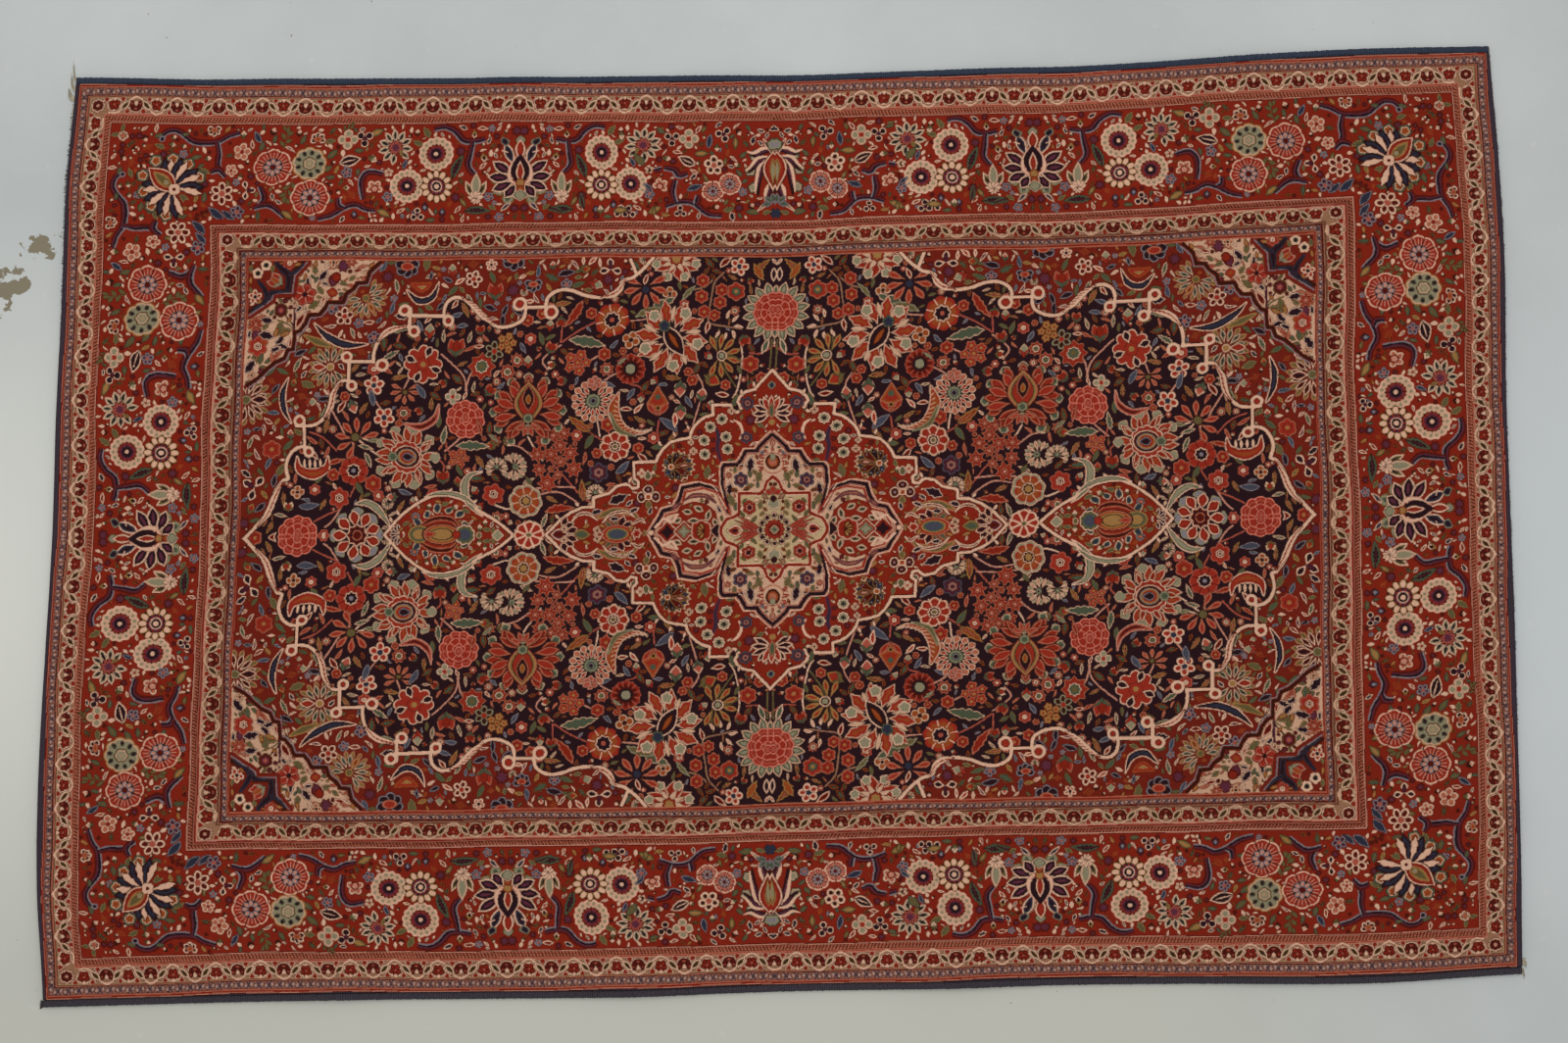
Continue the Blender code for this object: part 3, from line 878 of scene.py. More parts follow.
FIELD_KINDS = {
    "rose": rose,
    "red blossom": partial(blossom, bands="ivory 2.2 coral"),
    "pale blossom": partial(blossom, bands="ivory 2.6 coral", heart="ink"),
    "sage blossom": partial(blossom, petals=4, bands="ivory 1.6 sage", heart="coral"),
    "grey blossom": partial(blossom, petals=6, bands="sage 1.8 brown", heart="coral"),
    "orange blossom": partial(blossom, petals=4, bands="cream 1.8 orange", heart="brown", slim=1.1),
    "violet blossom": partial(
        rosette, lobes=6, rim="blue 2 violet", ring="lilac", heart="violet", cut=0.25,
    ),
    "star": partial(
        rosette, rim="salmon 1.5 madder 2.5 coral", ring="ivory 1.3 green", heart="moss", cut=0.25,
        ring_size=0.5, pointed=True,
    ),
    "coral star": partial(
        rosette, lobes=6, rim="rose 2 coral", ring="ivory 1.4 wine", heart="ivory 1.2 navy", cut=0.25,
        ring_size=0.42,
    ),
    "coral rosette": partial(
        rosette, rim="rose 1.6 coral", crease="wine", ring="ivory 1.6 navy", heart="haze", ring_size=0.5,
        heart_size=0.14,
    ),
    "dark rosette": partial(
        rosette, lobes=12, rim="rose 1.2 madder 4 wine", crease="rose", ring="wine 1 navy", heart="sage",
        ring_size=0.55, heart_size=0.3, pointed=True,
    ),
    "navy-hearted": partial(
        rosette, rim="coral 5 orange", crease="ivory", ring="ivory 1.8 navy", heart="rose", ring_size=0.52,
        heart_size=0.14, cut=0.14,
    ),
    "cream rosette": partial(
        rosette, rim="ivory 1.8 salmon 1.4 madder 3 coral", crease="ivory", ring="ivory 1.7 brown",
        heart="ivory 1.2 moss", cut=0.2, ring_size=0.42,
    ),
    "sage rosette": partial(
        rosette, rim="cream 1.6 sage 3 coral 3 orange", crease="cream", ring="cream 1.6 brown",
        heart="gold", cut=0.12, ring_size=0.4,
    ),
    "cluster": partial(cluster, bands="salmon 1.4 coral", heart="gold"),
    "orange cluster": partial(cluster, bands="orange 1 gold", heart="coral"),
    "little red": partial(rosette, lobes=6, rim="salmon 1.5 coral", ring="coral", heart="gold", cut=0.2),
    "red star": partial(
        rosette, lobes=7, rim="salmon 1.7 madder 2.2 coral", ring="salmon 1.1 madder", heart="pink",
        cut=0.38, ring_size=0.38, heart_size=0.14, pointed=True,
    ),
    "fan": partial(
        fan, bands="cream 2 coral 2 madder", heart="green 1.6 sage 1.6 navy", back="cream 1.2 sage",
    ),
    "red fan": partial(fan, bands="salmon 2 coral", heart="brown 2 moss"),
    "bud": partial(bud, bands="salmon 1.8 coral"),
    "gold bud": partial(bud, bands="gold 2 coral"),
    "pink bud": partial(bud, bands="ivory 1.8 rose", calyx="green"),
    "sage bud": partial(bud, bands="cream 1.4 sage", calyx="coral"),
    "tulip": partial(tulip, bands="salmon 1.8 coral"),
    "pale tulip": partial(tulip, bands="ivory 1.8 gold", inner="coral", calyx="moss"),
    "red leaf": partial(leaf, bands="salmon 1.6 madder", slim=0.32, bend=0.25, teeth=5),
    "orange leaf": partial(leaf, bands="gold 1.2 orange", bend=0.1, teeth=4, rib="salmon"),
    "green leaf": partial(leaf, bands="cream 1.2 green", bend=0.12, teeth=5),
    "moss leaf": partial(leaf, bands="moss 1.4 green", slim=0.36, bend=-0.12),
    "blue leaf": partial(leaf, bands="haze 1 blue", slim=0.36, bend=-0.2),
    "ivory leaf": partial(leaf, bands="ivory 1.8 coral", slim=0.36, bend=0.2),
    "sage leaf": partial(leaf, bands="sage 1.6 moss", slim=0.3, bend=0.2, teeth=4),
    "navy leaf": partial(leaf, bands="haze 1 navy", slim=0.4, bend=0.15),
    "half flower": partial(half_flower, bands="haze 1.6 navy", heart="salmon 2 coral"),
    "trefoil": trefoil,
    "white blossom": partial(blossom, bands="ivory 2.3 wine", heart="coral"),
}
ALL_KINDS = {**BORDER_KINDS, **FIELD_KINDS}


FIELD_MOTIFS = """
rose: 598 512 29, 355 684 30
star: 620 434 21
coral rosette: 437 591 22
navy-hearted: 808 370 25 10
dark rosette: 838 442 23
cream rosette: 819 557 23
sage rosette: 685 634 25 10
coral star: 414 631 16, 639 625 16 10, 873 546 9, 915 348 8, 692 395 9
grey blossom: 638 412 15
orange cluster: 657 400 16
pale blossom: 466 462 15, 482 510 16 35, 995 291 14 20
orange blossom: 837 400 13 20, 893 333 11, 353 620 10
sage blossom: 579 479 12
little red: 799 420 10, 809 523 11, 979 467 8, 1016 436 13, 941 313 10, 969 326 10, 940 336 10, 967 344 10
little red: 945 358 10, 960 363 9, 466 610 13
violet blossom: 794 595 15
cluster: 589 571 16, 761 431 20
red star: 712 546 12, 728 538 12 10, 744 535 12, 705 566 13 20, 738 553 12 20, 753 564 13, 725 566 13 5
red star: 707 588 12, 739 577 10, 758 588 14, 718 608 16 10, 735 596 9, 642 545 10
fan: 674 584 16 90, 643 582 13
red fan: 436 536 26 -40, 510 475 17 180
sage bud: 541 385 16, 690 431 14, 854 481 12 180, 956 500 12 20
tulip: 581 407 26, 616 381 15, 734 370 15 180, 722 409 17 20, 1005 400 17 160, 567 601 20, 633 470 17 40
gold bud: 954 457 20 120, 639 552 14 -90
pale tulip: 726 433 12 -90, 341 642 14, 660 545 16 100
pink bud: 912 468 19 180, 913 503 18 180, 497 629 13 -90, 434 490 16 160, 943 486 16 10
red leaf: 755 361 46 200, 735 645 46 70, 410 575 30 60, 620 525 26 150
orange leaf: 767 523 42 -60, 770 621 34 -10, 900 455 26 90, 1026 290 32 40
green leaf: 774 400 56 95, 609 551 50 85, 879 350 56 50, 600 390 20 10, 561 388 20 -10, 567 536 30
green leaf: 690 604 20 60, 455 555 24 100, 459 575 26 150
blue leaf: 370 642 30 100, 896 525 34 -40, 465 480 26, 533 470 26 -20, 805 465 24 120, 620 590 14 20
blue leaf: 830 590 28 60
sage leaf: 860 357 44 60, 920 330 30 30, 640 540 22 120, 825 430 18 40, 395 500 24 200, 470 545 26 80
sage leaf: 500 380 24 60
moss leaf: 590 590 20 160, 560 515 22 10, 445 618 22 160, 830 330 16, 385 600 22 40, 690 604 16 -30
moss leaf: 1000 445 16 160, 880 560 22 90
ivory leaf: 979 362 14, 990 368 14 30, 996 380 14 90, 990 392 14 150, 978 395 13 180, 966 392 13 200
ivory leaf: 905 520 24 170, 850 500 20 30
"""

SPANDREL_MOTIFS = """
white blossom: 416 360 14, 605 306 13 20
half flower: 504 292 24 180, 692 320 17 180, 663 283 24 180
sage bud: 573 296 14, 779 316 15 110, 369 487 14 90
tulip: 637 326 24
pink bud: 720 291 10, 343 538 11
little red: 315 557 14
trefoil: 292 612 17 -60, 803 296 15
green leaf: 490 316 24 160, 540 300 20 60, 400 395 30 100, 350 430 26 20, 330 460 1, 284 545 22 10
green leaf: 600 335 20 140, 430 385 20 150
navy leaf: 652 352 20 10, 540 300 14, 740 300 26 70, 320 465 18 30
moss leaf: 312 440 20 60, 287 410 24 40, 300 590 16 150, 760 295 20 60, 330 530 14
gold bud: 345 460 10 20, 285 645 12 30, 762 295 12 90
red blossom: 630 285 9
"""


def flames(pen, reach, count, length, width, bands, start=0.0, spread=360.0, curl=0.25):
    """Petals that lick outwards, each leaning away from the tip line."""
    for part in pen.around(count, reach, start, spread):
        side = 1 if part.tip @ pen.right > 0 else -1
        part.petal(length, width, bands, widest=0.45, bend=side * length * curl)


def great_palmette(pen):
    """The upright lotus with a shield-shaped heart."""
    pen.at(0, -14).petals(11, 42, 16, 15, "cream 1 sage 2 green", spread=300, widest=0.6)
    pen.at(0, -12).petals(11, 24, 30, 14, "wine 0.8 salmon 1.8 madder 2.5 coral", spread=290, widest=0.6)
    pen.at(0, -16).petals(7, 14, 38, 15, "wine 0.8 salmon 1.8 coral", spread=200, widest=0.6)
    for side in (-1, 1):
        for turn in (112, 132):
            pen.at(0, -26, side * turn).petal(
                40, 12, "wine 0.8 salmon 1.7 madder", widest=0.6, bend=side * 5,
            )
    pen.at(0, -34).petal(66, 44, "wine 1 salmon 1.4 gold 2.4 moss 1.5 wine 1 coral", widest=0.5)
    pen.at(0, -14).petal(40, 19, "salmon 1.3 wine 1.4 navy", widest=0.5)
    pen.at(0, -4).petal(16, 8, "gold 1.2 orange", widest=0.5)
    pen.at(0, -25).lobes(8, 6, 0.15, "moss 1.2 sage 2 green")
    pen.at(0, -34, 180).petal(16, 20, "cream 1.4 sage", widest=0.4)
    pen.at(0, -34).petals(4, 3, 17, 7, "salmon 1.6 coral", start=180, spread=130)


def swirl_palmette(pen):
    """A navy teardrop in a wheel of red and ivory leaves."""
    pen = pen.at(0, -12)
    pen.petals(10, 14, 42, 20, "cream 1.6 coral 4 orange", start=18, widest=0.55, bend=6, teeth=3)
    pen.petals(10, 20, 26, 7, "cream", widest=0.6, bend=4)
    for part in pen.around(5, 41, start=30):
        part.lobes(9.5, 5, 0.2, "ivory 2 sage")
    pen.at(0, -22).petal(56, 26, "ivory 1.8 navy 5 brown 2 orange", widest=0.48)
    pen.at(0, -20).lobes(9, 5, 0.2, "green 2 ink")


def ring_palmette(pen):
    """A round palmette of flames about a dark eye, its foot at the back."""
    pen.petals(9, 34, 16, 17, "cream 1.2 sage", spread=300, widest=0.55)
    flames(pen, 20, 13, 26, 13, "cream 1.6 coral 3 orange")
    flames(pen, 18, 9, 22, 9, "cream 1.4 madder", start=14)
    pen.lobes(25, 12, 0.1, "ivory 1.6 coral")
    pen.at(0, 1).oval(17, 20, "ivory 1.6 wine 2 brown 2.2 haze 1 gold 2.5 coral")
    pen.at(0, -6).petal(18, 12, "haze 1.2 navy", widest=0.4)
    pen.at(0, -20).lobes(7.5, 6, 0.2, "sage 2 green")
    pen.at(0, 40).disc(6, "sage")


def axis_palmette(pen):
    """The fan-shaped lotus on the long axis."""
    pen.petals(8, 24, 16, 19, "sage 3 haze", widest=0.6)
    pen.petals(9, 10, 26, 16, "ivory 1.8 madder 3 coral", widest=0.62)
    pen.lobes(17, 8, 0.2, "ivory 1.5 wine 4 navy", pointed=True)
    pen.disc(7.5, "salmon 1.6 wine")


def sun_rose(pen):
    """The full-blown rose within a wreath of sage and ivory leaves."""
    pen.petals(16, 20, 25, 13, "cream 1.8 green 2 sage", start=11, widest=0.5)
    for side in (-1, 1):
        pen.at(side * 4, -38, side * 160).petal(26, 9, "ivory 1.4 green")
        pen.at(side * 14, 47, side * 30).petal(30, 13, "gold 1.4 orange", widest=0.5, teeth=4)
    pen.at(0, 45).petal(22, 9, "ivory 1.6 navy")
    rose(pen, 29)


def hanging_palmette(pen):
    """Half of a palmette, hanging down from the field's edge."""
    flames(pen, 6, 9, 30, 15, "cream 1.6 coral 3 madder", spread=200)
    for part in pen.around(4, 30, spread=150):
        part.lobes(7.5, 5, 0.2, "ivory 1.5 sage")
    flames(pen, 2, 6, 22, 7, "cream", spread=170)
    pen.lobes(10, 7, 0.2, "madder 3 gold")


def triangle_flower(pen):
    """An orange triangle with a green heart over a fringed red cup."""
    for turn in (-38, -14, 14, 38):
        pen.at(0, -22, turn).petal(26, 9, "salmon 1.4 coral", widest=0.6)
    triangle = [pen.place(u, v) for u, v in ((0, 26), (17, -2), (0, -10), (-17, -2))]
    pen.chart.polygon(triangle, "salmon 1.6 orange 3 coral")
    pen.at(0, 8).disc(4.4, "green")
    pen.at(0, -9).disc(4, "gold 1.6 brown")


def half_sun(pen, size):
    """A round flower of cream petals tipped in rose, open at its stalk, about a grey-green heart."""
    pen.petals(13, size * 0.62, size * 0.46, size * 0.36, "ivory 1.5 salmon", spread=300, widest=0.6)
    pen.petals(13, size * 0.3, size * 0.48, size * 0.2, "ivory 1 coral", spread=290, widest=0.6)
    pen.lobes(size * 0.36, 10, 0.1, "green 1.6 sage 2 green")
    pen.disc(size * 0.14, "haze 1 navy")


def curved_spray(pen):
    """A C-shaped leaf in red, ivory and sage, its red side barred."""
    path = [(-14, 34), (-20, 8), (-8, -18), (16, -28), (34, -24)]
    pen.stroke(path, (5, 19, 17, 10, 3), "brown 0.8 cream 1.8 coral 2 orange")
    bars = smooth(path, every=6)
    for a, b in zip(bars[1:-2], bars[2:-1]):
        pen.stroke([a, (b[0] + 4.5, b[1] + 4.5)], 1.3, "cream", every=STRAIGHT)
    pen.stroke([(u - 4, v - 4) for u, v in path[1:4]], (3, 8, 3), "sage 1.4 moss")


def bowl(pen):
    pen.stroke(
        "-23 12, -20 -6, 0 -14, 20 -6, 24 12", (3, 13, 18, 13, 3), "ivory 1.6 madder 2 coral 2.5 orange",
    )
    for u in (-12, -4, 4, 12):
        pen.at(u, -6).petal(15, 4, "ivory")


def pendant_palmette(pen):
    """The long palmette that lies in the pendant, its tip outwards, in a ring of dark leaves."""
    for k, part in enumerate(pen.around(14, 30)):
        part.petal(18 if k % 2 else 12, 12, "ivory 1.3 green 1.6 ink", widest=0.5, bend=4)
    pen.at(0, 60).petals(7, 0, 17, 6, "ivory 1.1 ink 1 navy", spread=150, widest=0.62)
    for side in (-1, 1):
        pen.stroke(
            [(side * 5, -26), (side * 21, -14), (side * 22, 12), (side * 8, 36)], (3, 8, 8, 3),
            "salmon 1.5 wine 1.5 brown",
        )
    pen.at(0, 32).oval(13, 16, "gold 2 moss 2.5 green 2 gold")
    pen.oval(15, 27, "brown 0.8 salmon 1.6 orange 2.4 gold 2 brown 1.4 gold")
    pen.at(0, 8).petal(18, 8, "salmon 1.2 coral", widest=0.5)
    pen.at(0, -33).lobes(15, 9, 0.12, "ivory 1.6 moss 2.4 green 2.6 blue")
    pen.at(0, -21).lobes(6, 5, 0.2, "madder 1.4 coral")
    pen.at(0, -53).oval(5, 4, "cream 1.2 moss")


def fringed_palmette(
    pen, size, petals="cream 1.3 green 1.5 navy", body="salmon 1.3 wine 2 madder", bulb="gold 1.5 moss",
    count=9, spread=250,
):
    """A palmette with a light fringe, dark blades and a bulb at its foot."""
    foot = pen.at(0, -size * 0.55)
    foot.petals(
        count + 4, size * 0.5, size * 1.02, size * 0.34, "salmon 1.1 gold 1.2 moss", spread=spread,
        widest=0.7,
    )
    foot.petals(count, size * 0.3, size * 0.95, size * 0.33, petals, spread=spread * 0.92, widest=0.6)
    foot.at(0, size * 0.2).petal(size * 1.05, size * 0.5, body, widest=0.55)
    foot.disc(size * 0.26, bulb)


def bladed_palmette(pen, size):
    """A round palmette that opens from its foot: dark blades within a thin light fringe."""
    pen.lobes(size, 17, 0.18, "ivory 1.6 gold 1 moss 1 ink", pointed=True)
    offset = 0.45
    foot = pen.at(0, -size * offset)
    blades = ("ink", "brown", "navy", "wine", "umber", "wine", "navy", "navy", "ink")
    for k, wool in enumerate(blades):
        turn = 30 * (k - 4)
        reach = offset * cos(radians(turn)) + sqrt(1 - (offset * sin(radians(turn))) ** 2)
        part = foot.at(0, 0, turn)
        part.petal(size * reach * 0.9, size * 0.4, f"gold 0.7 {wool}", widest=0.62)
        part.at(0, size * reach * 0.66).disc(1.1, "haze")
    foot.at(0, size * 0.5).petal(size * 0.5, 3.2, "pink")
    foot.disc(4.4, "ivory 1.2 orange")


def daisy_row(chart, places, size=9.5):
    for x, y in places:
        pen = Pen(chart, x, y)
        pen.lobes(size, 8, 0.2, "wine 0.7 ivory 1.7 sage")
        pen.spokes(8, size * 0.35, size * 0.8, 0.9, "cream", turn=22)
        pen.lobes(size * 0.36, 5, 0.3, "green 1 navy")


def cross_flower(pen, size):
    """Three round dark petals in light rims, over a golden foot."""
    pen.at(0, -size * 1.05).petal(size * 0.9, size * 0.7, "umber 1.1 gold 1.4 moss", widest=0.4)
    for part in pen.around(3, size * 0.62, spread=180):
        part.oval(size * 0.5, size * 0.42, "wine 0.6 ivory 1.6 brown 2.2 wine")
        part.disc(1.6, "haze")
    pen.box(4.2, 4.2, "ivory 1.1 coral 1.2 orange")


def medallion(chart):
    """The red medallion on the rug's middle, with its ivory core and star, and the pendant on the axis."""
    chart.polygon(MEDALLION_EDGE + [(1060, 690), (1060, 444)], "madder")
    chart.polygon(PENDANT_EDGE, "madder")
    for edge in (MEDALLION_EDGE, PENDANT_EDGE):
        chart.outline(edge, (6.4, "brown"), (3.9, "ivory"))
    for x, y, turn in (
        (1024, 470, 150), (1005, 482, 150), (926, 535, 140), (905, 545, 140), (885, 558, 130),
        (838, 612, 190), (800, 626, 120), (766, 644, 120), (735, 661, 120), (610, 640, 210),
        (575, 624, 200), (530, 636, 150), (505, 656, 140),
    ):
        Pen(chart, x, y, turn + 180).petal(9, 4, "ivory", bend=2)
    chart.line(
        "622 592, 605 597, 598 612, 601 633, 612 648, 624 657", (2, 8, 13, 11, 6, 2),
        "ivory 1.6 green 1.2 sage",
    )
    chart.line("540 629, 560 624, 580 625, 600 632, 616 645", (2, 8, 9, 8, 3), "ivory 1.6 green 1.2 sage")
    chart.line("438 640, 456 638, 471 646, 483 660, 492 674", (2, 10, 12, 8, 2), "ivory 1.6 green 1.2 sage")

    # the red ground between the outer line and the core
    chart.line("964 528, 969 545, 967 562, 972 586", (4, 7.5, 6, 4), "dusk 1.2 violet 1 ink")
    chart.line("992 520, 1000 526, 1004 538, 1000 549", (2, 4.6, 4, 2), "ivory")
    chart.line("790 662, 816 652, 842 655, 856 668", (3, 13, 11, 3), "salmon 1.2 gold 1.4 moss")
    place_all(chart, """
    smoke: 1016 520 9, 905 620 7, 850 640 7 40
    violet blossom: 1012 494 10 10, 1010 547 9
    green rag: 1030 528 15 140, 1003 515 10 20, 950 598 22 20, 986 582 12 100, 934 604 10 60
    gold leaf: 1022 535 14 160, 904 630 14 30, 838 598 10 80, 943 590 13 -20, 880 602 10 100, 894 615 12 40
    ink rag: 822 634 30 60, 792 652 18 70, 838 640 14 40
    curl: 862 618 12 20, 925 628 14 100, 1020 556 14 40, 990 590 16 60, 955 604 14 30
    ivory bud: 873 601 8, 1002 505 6
    cream blossom: 857 598 7
    sparks: 890 645 8 40, 928 612 8, 1034 545 8 20, 865 650 8
    orange blossom: 927 553 5, 930 566 6, 1030 505 6, 988 506 6
    rose bud: 922 641 6 30, 1022 480 5 150
    """, ALL_KINDS)
    daisy_row(chart, ((957, 530), (974, 518), (947, 550), (947, 571), (980, 545), (982, 564)))
    bladed_palmette(Pen(chart, 909, 588, 84), 24)
    cross_flower(Pen(chart, 866, 632), 17)
    Pen(chart, 866, 608).petal(15, 11, "ivory 1.2 green 1.6 moss", widest=0.4)
    top = Pen(chart, HALF_LENGTH, 506)
    for turn in (-118, -92, -66, -40, 40, 66, 92, 118):
        top.at(0, -4, turn).petal(30, 10, "ivory 1.8 wine 0.8 navy", widest=0.62)
    for turn in (-20, 0, 20):
        top.at(0, -10, turn).petal(34, 10, "ivory 1.6 coral", widest=0.6)
    top.at(0, -14).petal(28, 10, "salmon 1.4 moss 1 green", widest=0.5)
    top.at(0, 33).petal(12, 11, "sage 1.6 ink", widest=0.5)
    top.at(0, -18).disc(6, "coral 1.4 gold")

    # the flowers on the axis, between the pendant and the core
    axis = Pen(chart, 0, 684, 90)
    for turn in (-70, -42, -18, 18, 42, 70):
        for x in (736, 822):
            axis.at(0, x, turn).at(0, 8).petal(20, 11, "ivory 1.4 wine 1.4 navy", widest=0.55)
    for turn in (110, 140, -110, -140):
        axis.at(0, 826, turn).at(0, 10).petal(22, 9, "salmon 1.3 moss 1.2 green", widest=0.5)
    axis.at(0, 722).petal(26, 17, "ivory 1.5 dusk 2.4 wine", widest=0.5)
    axis.at(0, 756).petal(26, 15, "gold 1.4 moss 2 green", widest=0.45)
    axis.at(0, 822).oval(13, 24, "salmon 1.8 coral 2.6 gold 1.6 green 2 blue")
    for x in (794, 850):
        axis.at(0, x).lobes(8, 6, 0.3, "ivory 1.4 coral 2 madder", pointed=True)
    for points in (
        "752 668, 764 656, 780 655, 792 664",
        "800 668, 812 656, 832 652, 846 660",
        "842 672, 854 664, 862 670",
    ):
        chart.line(points, (3, 6.5, 6.5, 3), "brown 0.8 ivory 1.5 wine")
    place_all(chart, """
    gold leaf: 776 672 14 60, 800 672 12 100, 842 676 12 20
    orange blossom: 742 676 6, 792 678 6 20
    ink rag: 818 662 16 80, 845 650 16 60, 868 652 14 10
    """, ALL_KINDS)

    # the ivory core
    lobe = CORE_EDGE[CORE_EDGE.index((980, 657)):]
    chart.polygon(CORE_EDGE + [(1060, 690), (1060, 542)], "cream")
    chart.outline(CORE_EDGE, (9.5, "madder"), (7.6, "pink"), (5.6, "navy"))
    chart.outline(CORE_EDGE, (1.7, "ivory"), shift=(-3.4, -4.2))
    chart.outline(lobe, (2.6, "coral"), shift=(4.5, 6.5))
    place_all(chart, """
    violet blossom: 1000 611 11
    ink rag: 1015 588 25, 982 624 22, 1002 590 12 60
    green rag: 1028 606 18 30, 984 640 20 -20, 1014 620 14 80, 992 596 12 20, 1022 600 12 -40
    olive leaf: 1014 602 12, 991 650 12 20
    dark rag: 1008 624 12 60, 990 626 12 100
    navy leaf: 1033 570 9 30
    sparks: 1000 594 6, 1034 594 6 60
    """, ALL_KINDS)
    Pen(chart, HALF_LENGTH, 586).petals(9, 17, 7, 3.4, "rose", spread=240)
    Pen(chart, HALF_LENGTH, 586).disc(16, "rose 1.4 cream 2 cream")
    Pen(chart, HALF_LENGTH, 584).oval(10, 11, "wine 1 brown 1.8 orange 2.4 salmon")
    Pen(chart, HALF_LENGTH, 577).oval(4, 5, "sage")
    Pen(chart, HALF_LENGTH, 562).petal(12, 7, "madder 1.2 cream 1 coral")
    # the core's side lobe: dark and red inside an arch of the ivory ground
    chart.polygon(
        "884 690, 893 672, 905 660, 914 646, 930 641, 948 645, 962 656, 972 690", "wine 1.2 madder",
    )
    chart.line("916 640, 930 633, 948 634, 962 644", (2, 8, 7, 3), "umber 1.1 dusk 1.4 rust")
    chart.line("900 652, 906 646, 913 644", (3, 8, 3), "umber 1.1 dusk 1.4 rust")
    for u, v, turn, size in (
        (922, 656, 100, 16), (938, 652, -60, 16), (952, 662, 10, 18), (908, 668, 60, 14),
        (931, 669, 90, 18), (962, 672, -30, 14), (945, 672, 30, 12),
    ):
        Pen(chart, u, v, turn).at(0, -size / 2).petal(size, 9, "cream 1.8 green 1.2 brown", widest=0.5)
    for x, size, bands in (
        (893, 16, "ivory 1.4 madder 3.6 wine 1.2 navy"),
        (917, 15, "ivory 1.3 madder 3 tan 1.4 green 1.4 sage"),
        (965, 11, "cream 1.2 wine 1 navy"),
    ):
        Pen(chart, x, 684).lobes(size, 4, 0.26, bands, pointed=True, turn=0)
    rose = Pen(chart, 942, 684)
    rose.lobes(16, 7, 0.14, "ivory 1.2 coral 2.4 madder")
    rose.at(6, 0, -90).petals(5, 1, 13, 5.2, "wine 0.9 gold", spread=110, widest=0.6)
    Pen(chart, 870, 684).disc(4.6, "wine 1 ivory")
    chart.line("876 676, 888 664, 900 670, 908 659", 3.4, "ivory", every=STRAIGHT)

    # the star
    chart.polygon(STAR_EDGE + [(1060, 690), (1060, 605)], "straw")
    chart.outline(STAR_EDGE, (6.4, "ivory"), (4.4, "madder"))
    place_all(chart, """
    green rag: 1028 647 14 20, 1003 685 12 100, 1030 660 10 60
    moss leaf: 1004 642 10 60, 1000 660 12 -30, 1018 668 12 50
    ivory drop: 1022 640 9 60, 1000 652 8 20, 1010 666 9 110
    """, ALL_KINDS)
    Pen(chart, 1011, 651).lobes(10, 6, 0.16, "coral 2.6 wine 1.6 pink 1 coral")
    Pen(chart, 1011, 651).disc(3.2, "navy")
    for side in (-1, 1):
        Pen(chart, HALF_LENGTH, 641, side * 70).at(0, 7).petal(
            13, 7, "umber 1.1 tan", widest=0.6, bend=-side * 4,
        )
    Pen(chart, HALF_LENGTH, 632).petals(3, 0, 13, 8, "rose 1.3 coral", spread=130, widest=0.6)
    Pen(chart, HALF_LENGTH, 646).oval(10, 8, "ivory 1.4 sage")
    Pen(chart, HALF_LENGTH, 644).petal(11, 9, "wine 1 navy")
    for turn in (-30, -20, -10, 10, 20, 30):
        Pen(chart, 1030, 684, -90 + turn).petal(44, 4.4, "rose 0.9 coral", widest=0.4)
    Pen(chart, 1002, 684, -90).petal(24, 17, "ivory 2.2 coral 1.4 straw", widest=0.45)
    Pen(chart, 996, 684, -90).petal(15, 8, "coral 1.4 navy", widest=0.35)
    centre = Pen(chart, HALF_LENGTH, HALF_WIDTH)
    centre.petals(12, 13, 14, 9, "brown 0.6 ivory 1.4 salmon", widest=0.62)
    for part in centre.around(12, 21, start=0):
        part.disc(3.2, "navy")
    centre.lobes(15.5, 12, 0.14, "madder 2 coral 2.4 wine", pointed=True)
    centre.lobes(8, 4, 0.2, "rose 1.4 sage 2.4 green", pointed=True)
    # the comb of short strokes on both sides of the core's upper flower
    for side in (-1, 1):
        for k in range(5):
            y = 574 + 4.6 * k
            Pen(chart, HALF_LENGTH + side * (15 + k * 0.8), y).box(3.4, 0.9, "madder")

    everywhere = np.ones(chart.cells.shape, bool)
    filler(chart, "straw", (960, 600, HALF_LENGTH, HALF_WIDTH), everywhere, LIGHT_FILLER, 0.03, 41)
    filler(chart, "cream", (860, 540, HALF_LENGTH, HALF_WIDTH), everywhere, LIGHT_FILLER, 0.03, 43)

    # the pendant
    pendant_palmette(Pen(chart, 566, 684, -90))
    place_all(chart, """
    half flower: 528 656 8
    ivory bud: 546 645 7 20, 582 646 8 60, 628 668 7, 620 676 8
    green rag: 570 640 14 80, 600 650 14 120, 515 668 12 60, 640 676 10 30
    gold leaf: 560 636 12 90, 612 660 12 120, 508 676 10 40
    sparks: 590 640 7 30, 535 650 7
    """, ALL_KINDS)
    Pen(chart, 646, 684, 90).lobes(9, 4, 0.25, "ivory 1.4 sage", pointed=True)
    filler(chart, "madder", (480, 625, 700, HALF_WIDTH), everywhere, PENDANT_FILLER, 0.06, 47)
    filler(chart, "madder", (712, 440, HALF_LENGTH, HALF_WIDTH), everywhere, MEDALLION_FILLER, 0.006, 53)
    joint = Pen(chart, 691, 685)
    joint.lobes(22, 8, 0.14, "ivory 2.4 coral")
    joint.spokes(8, 4, 22, 2.6, "ivory", turn=22.5)
    joint.disc(5.5, "ivory 1.5 moss")


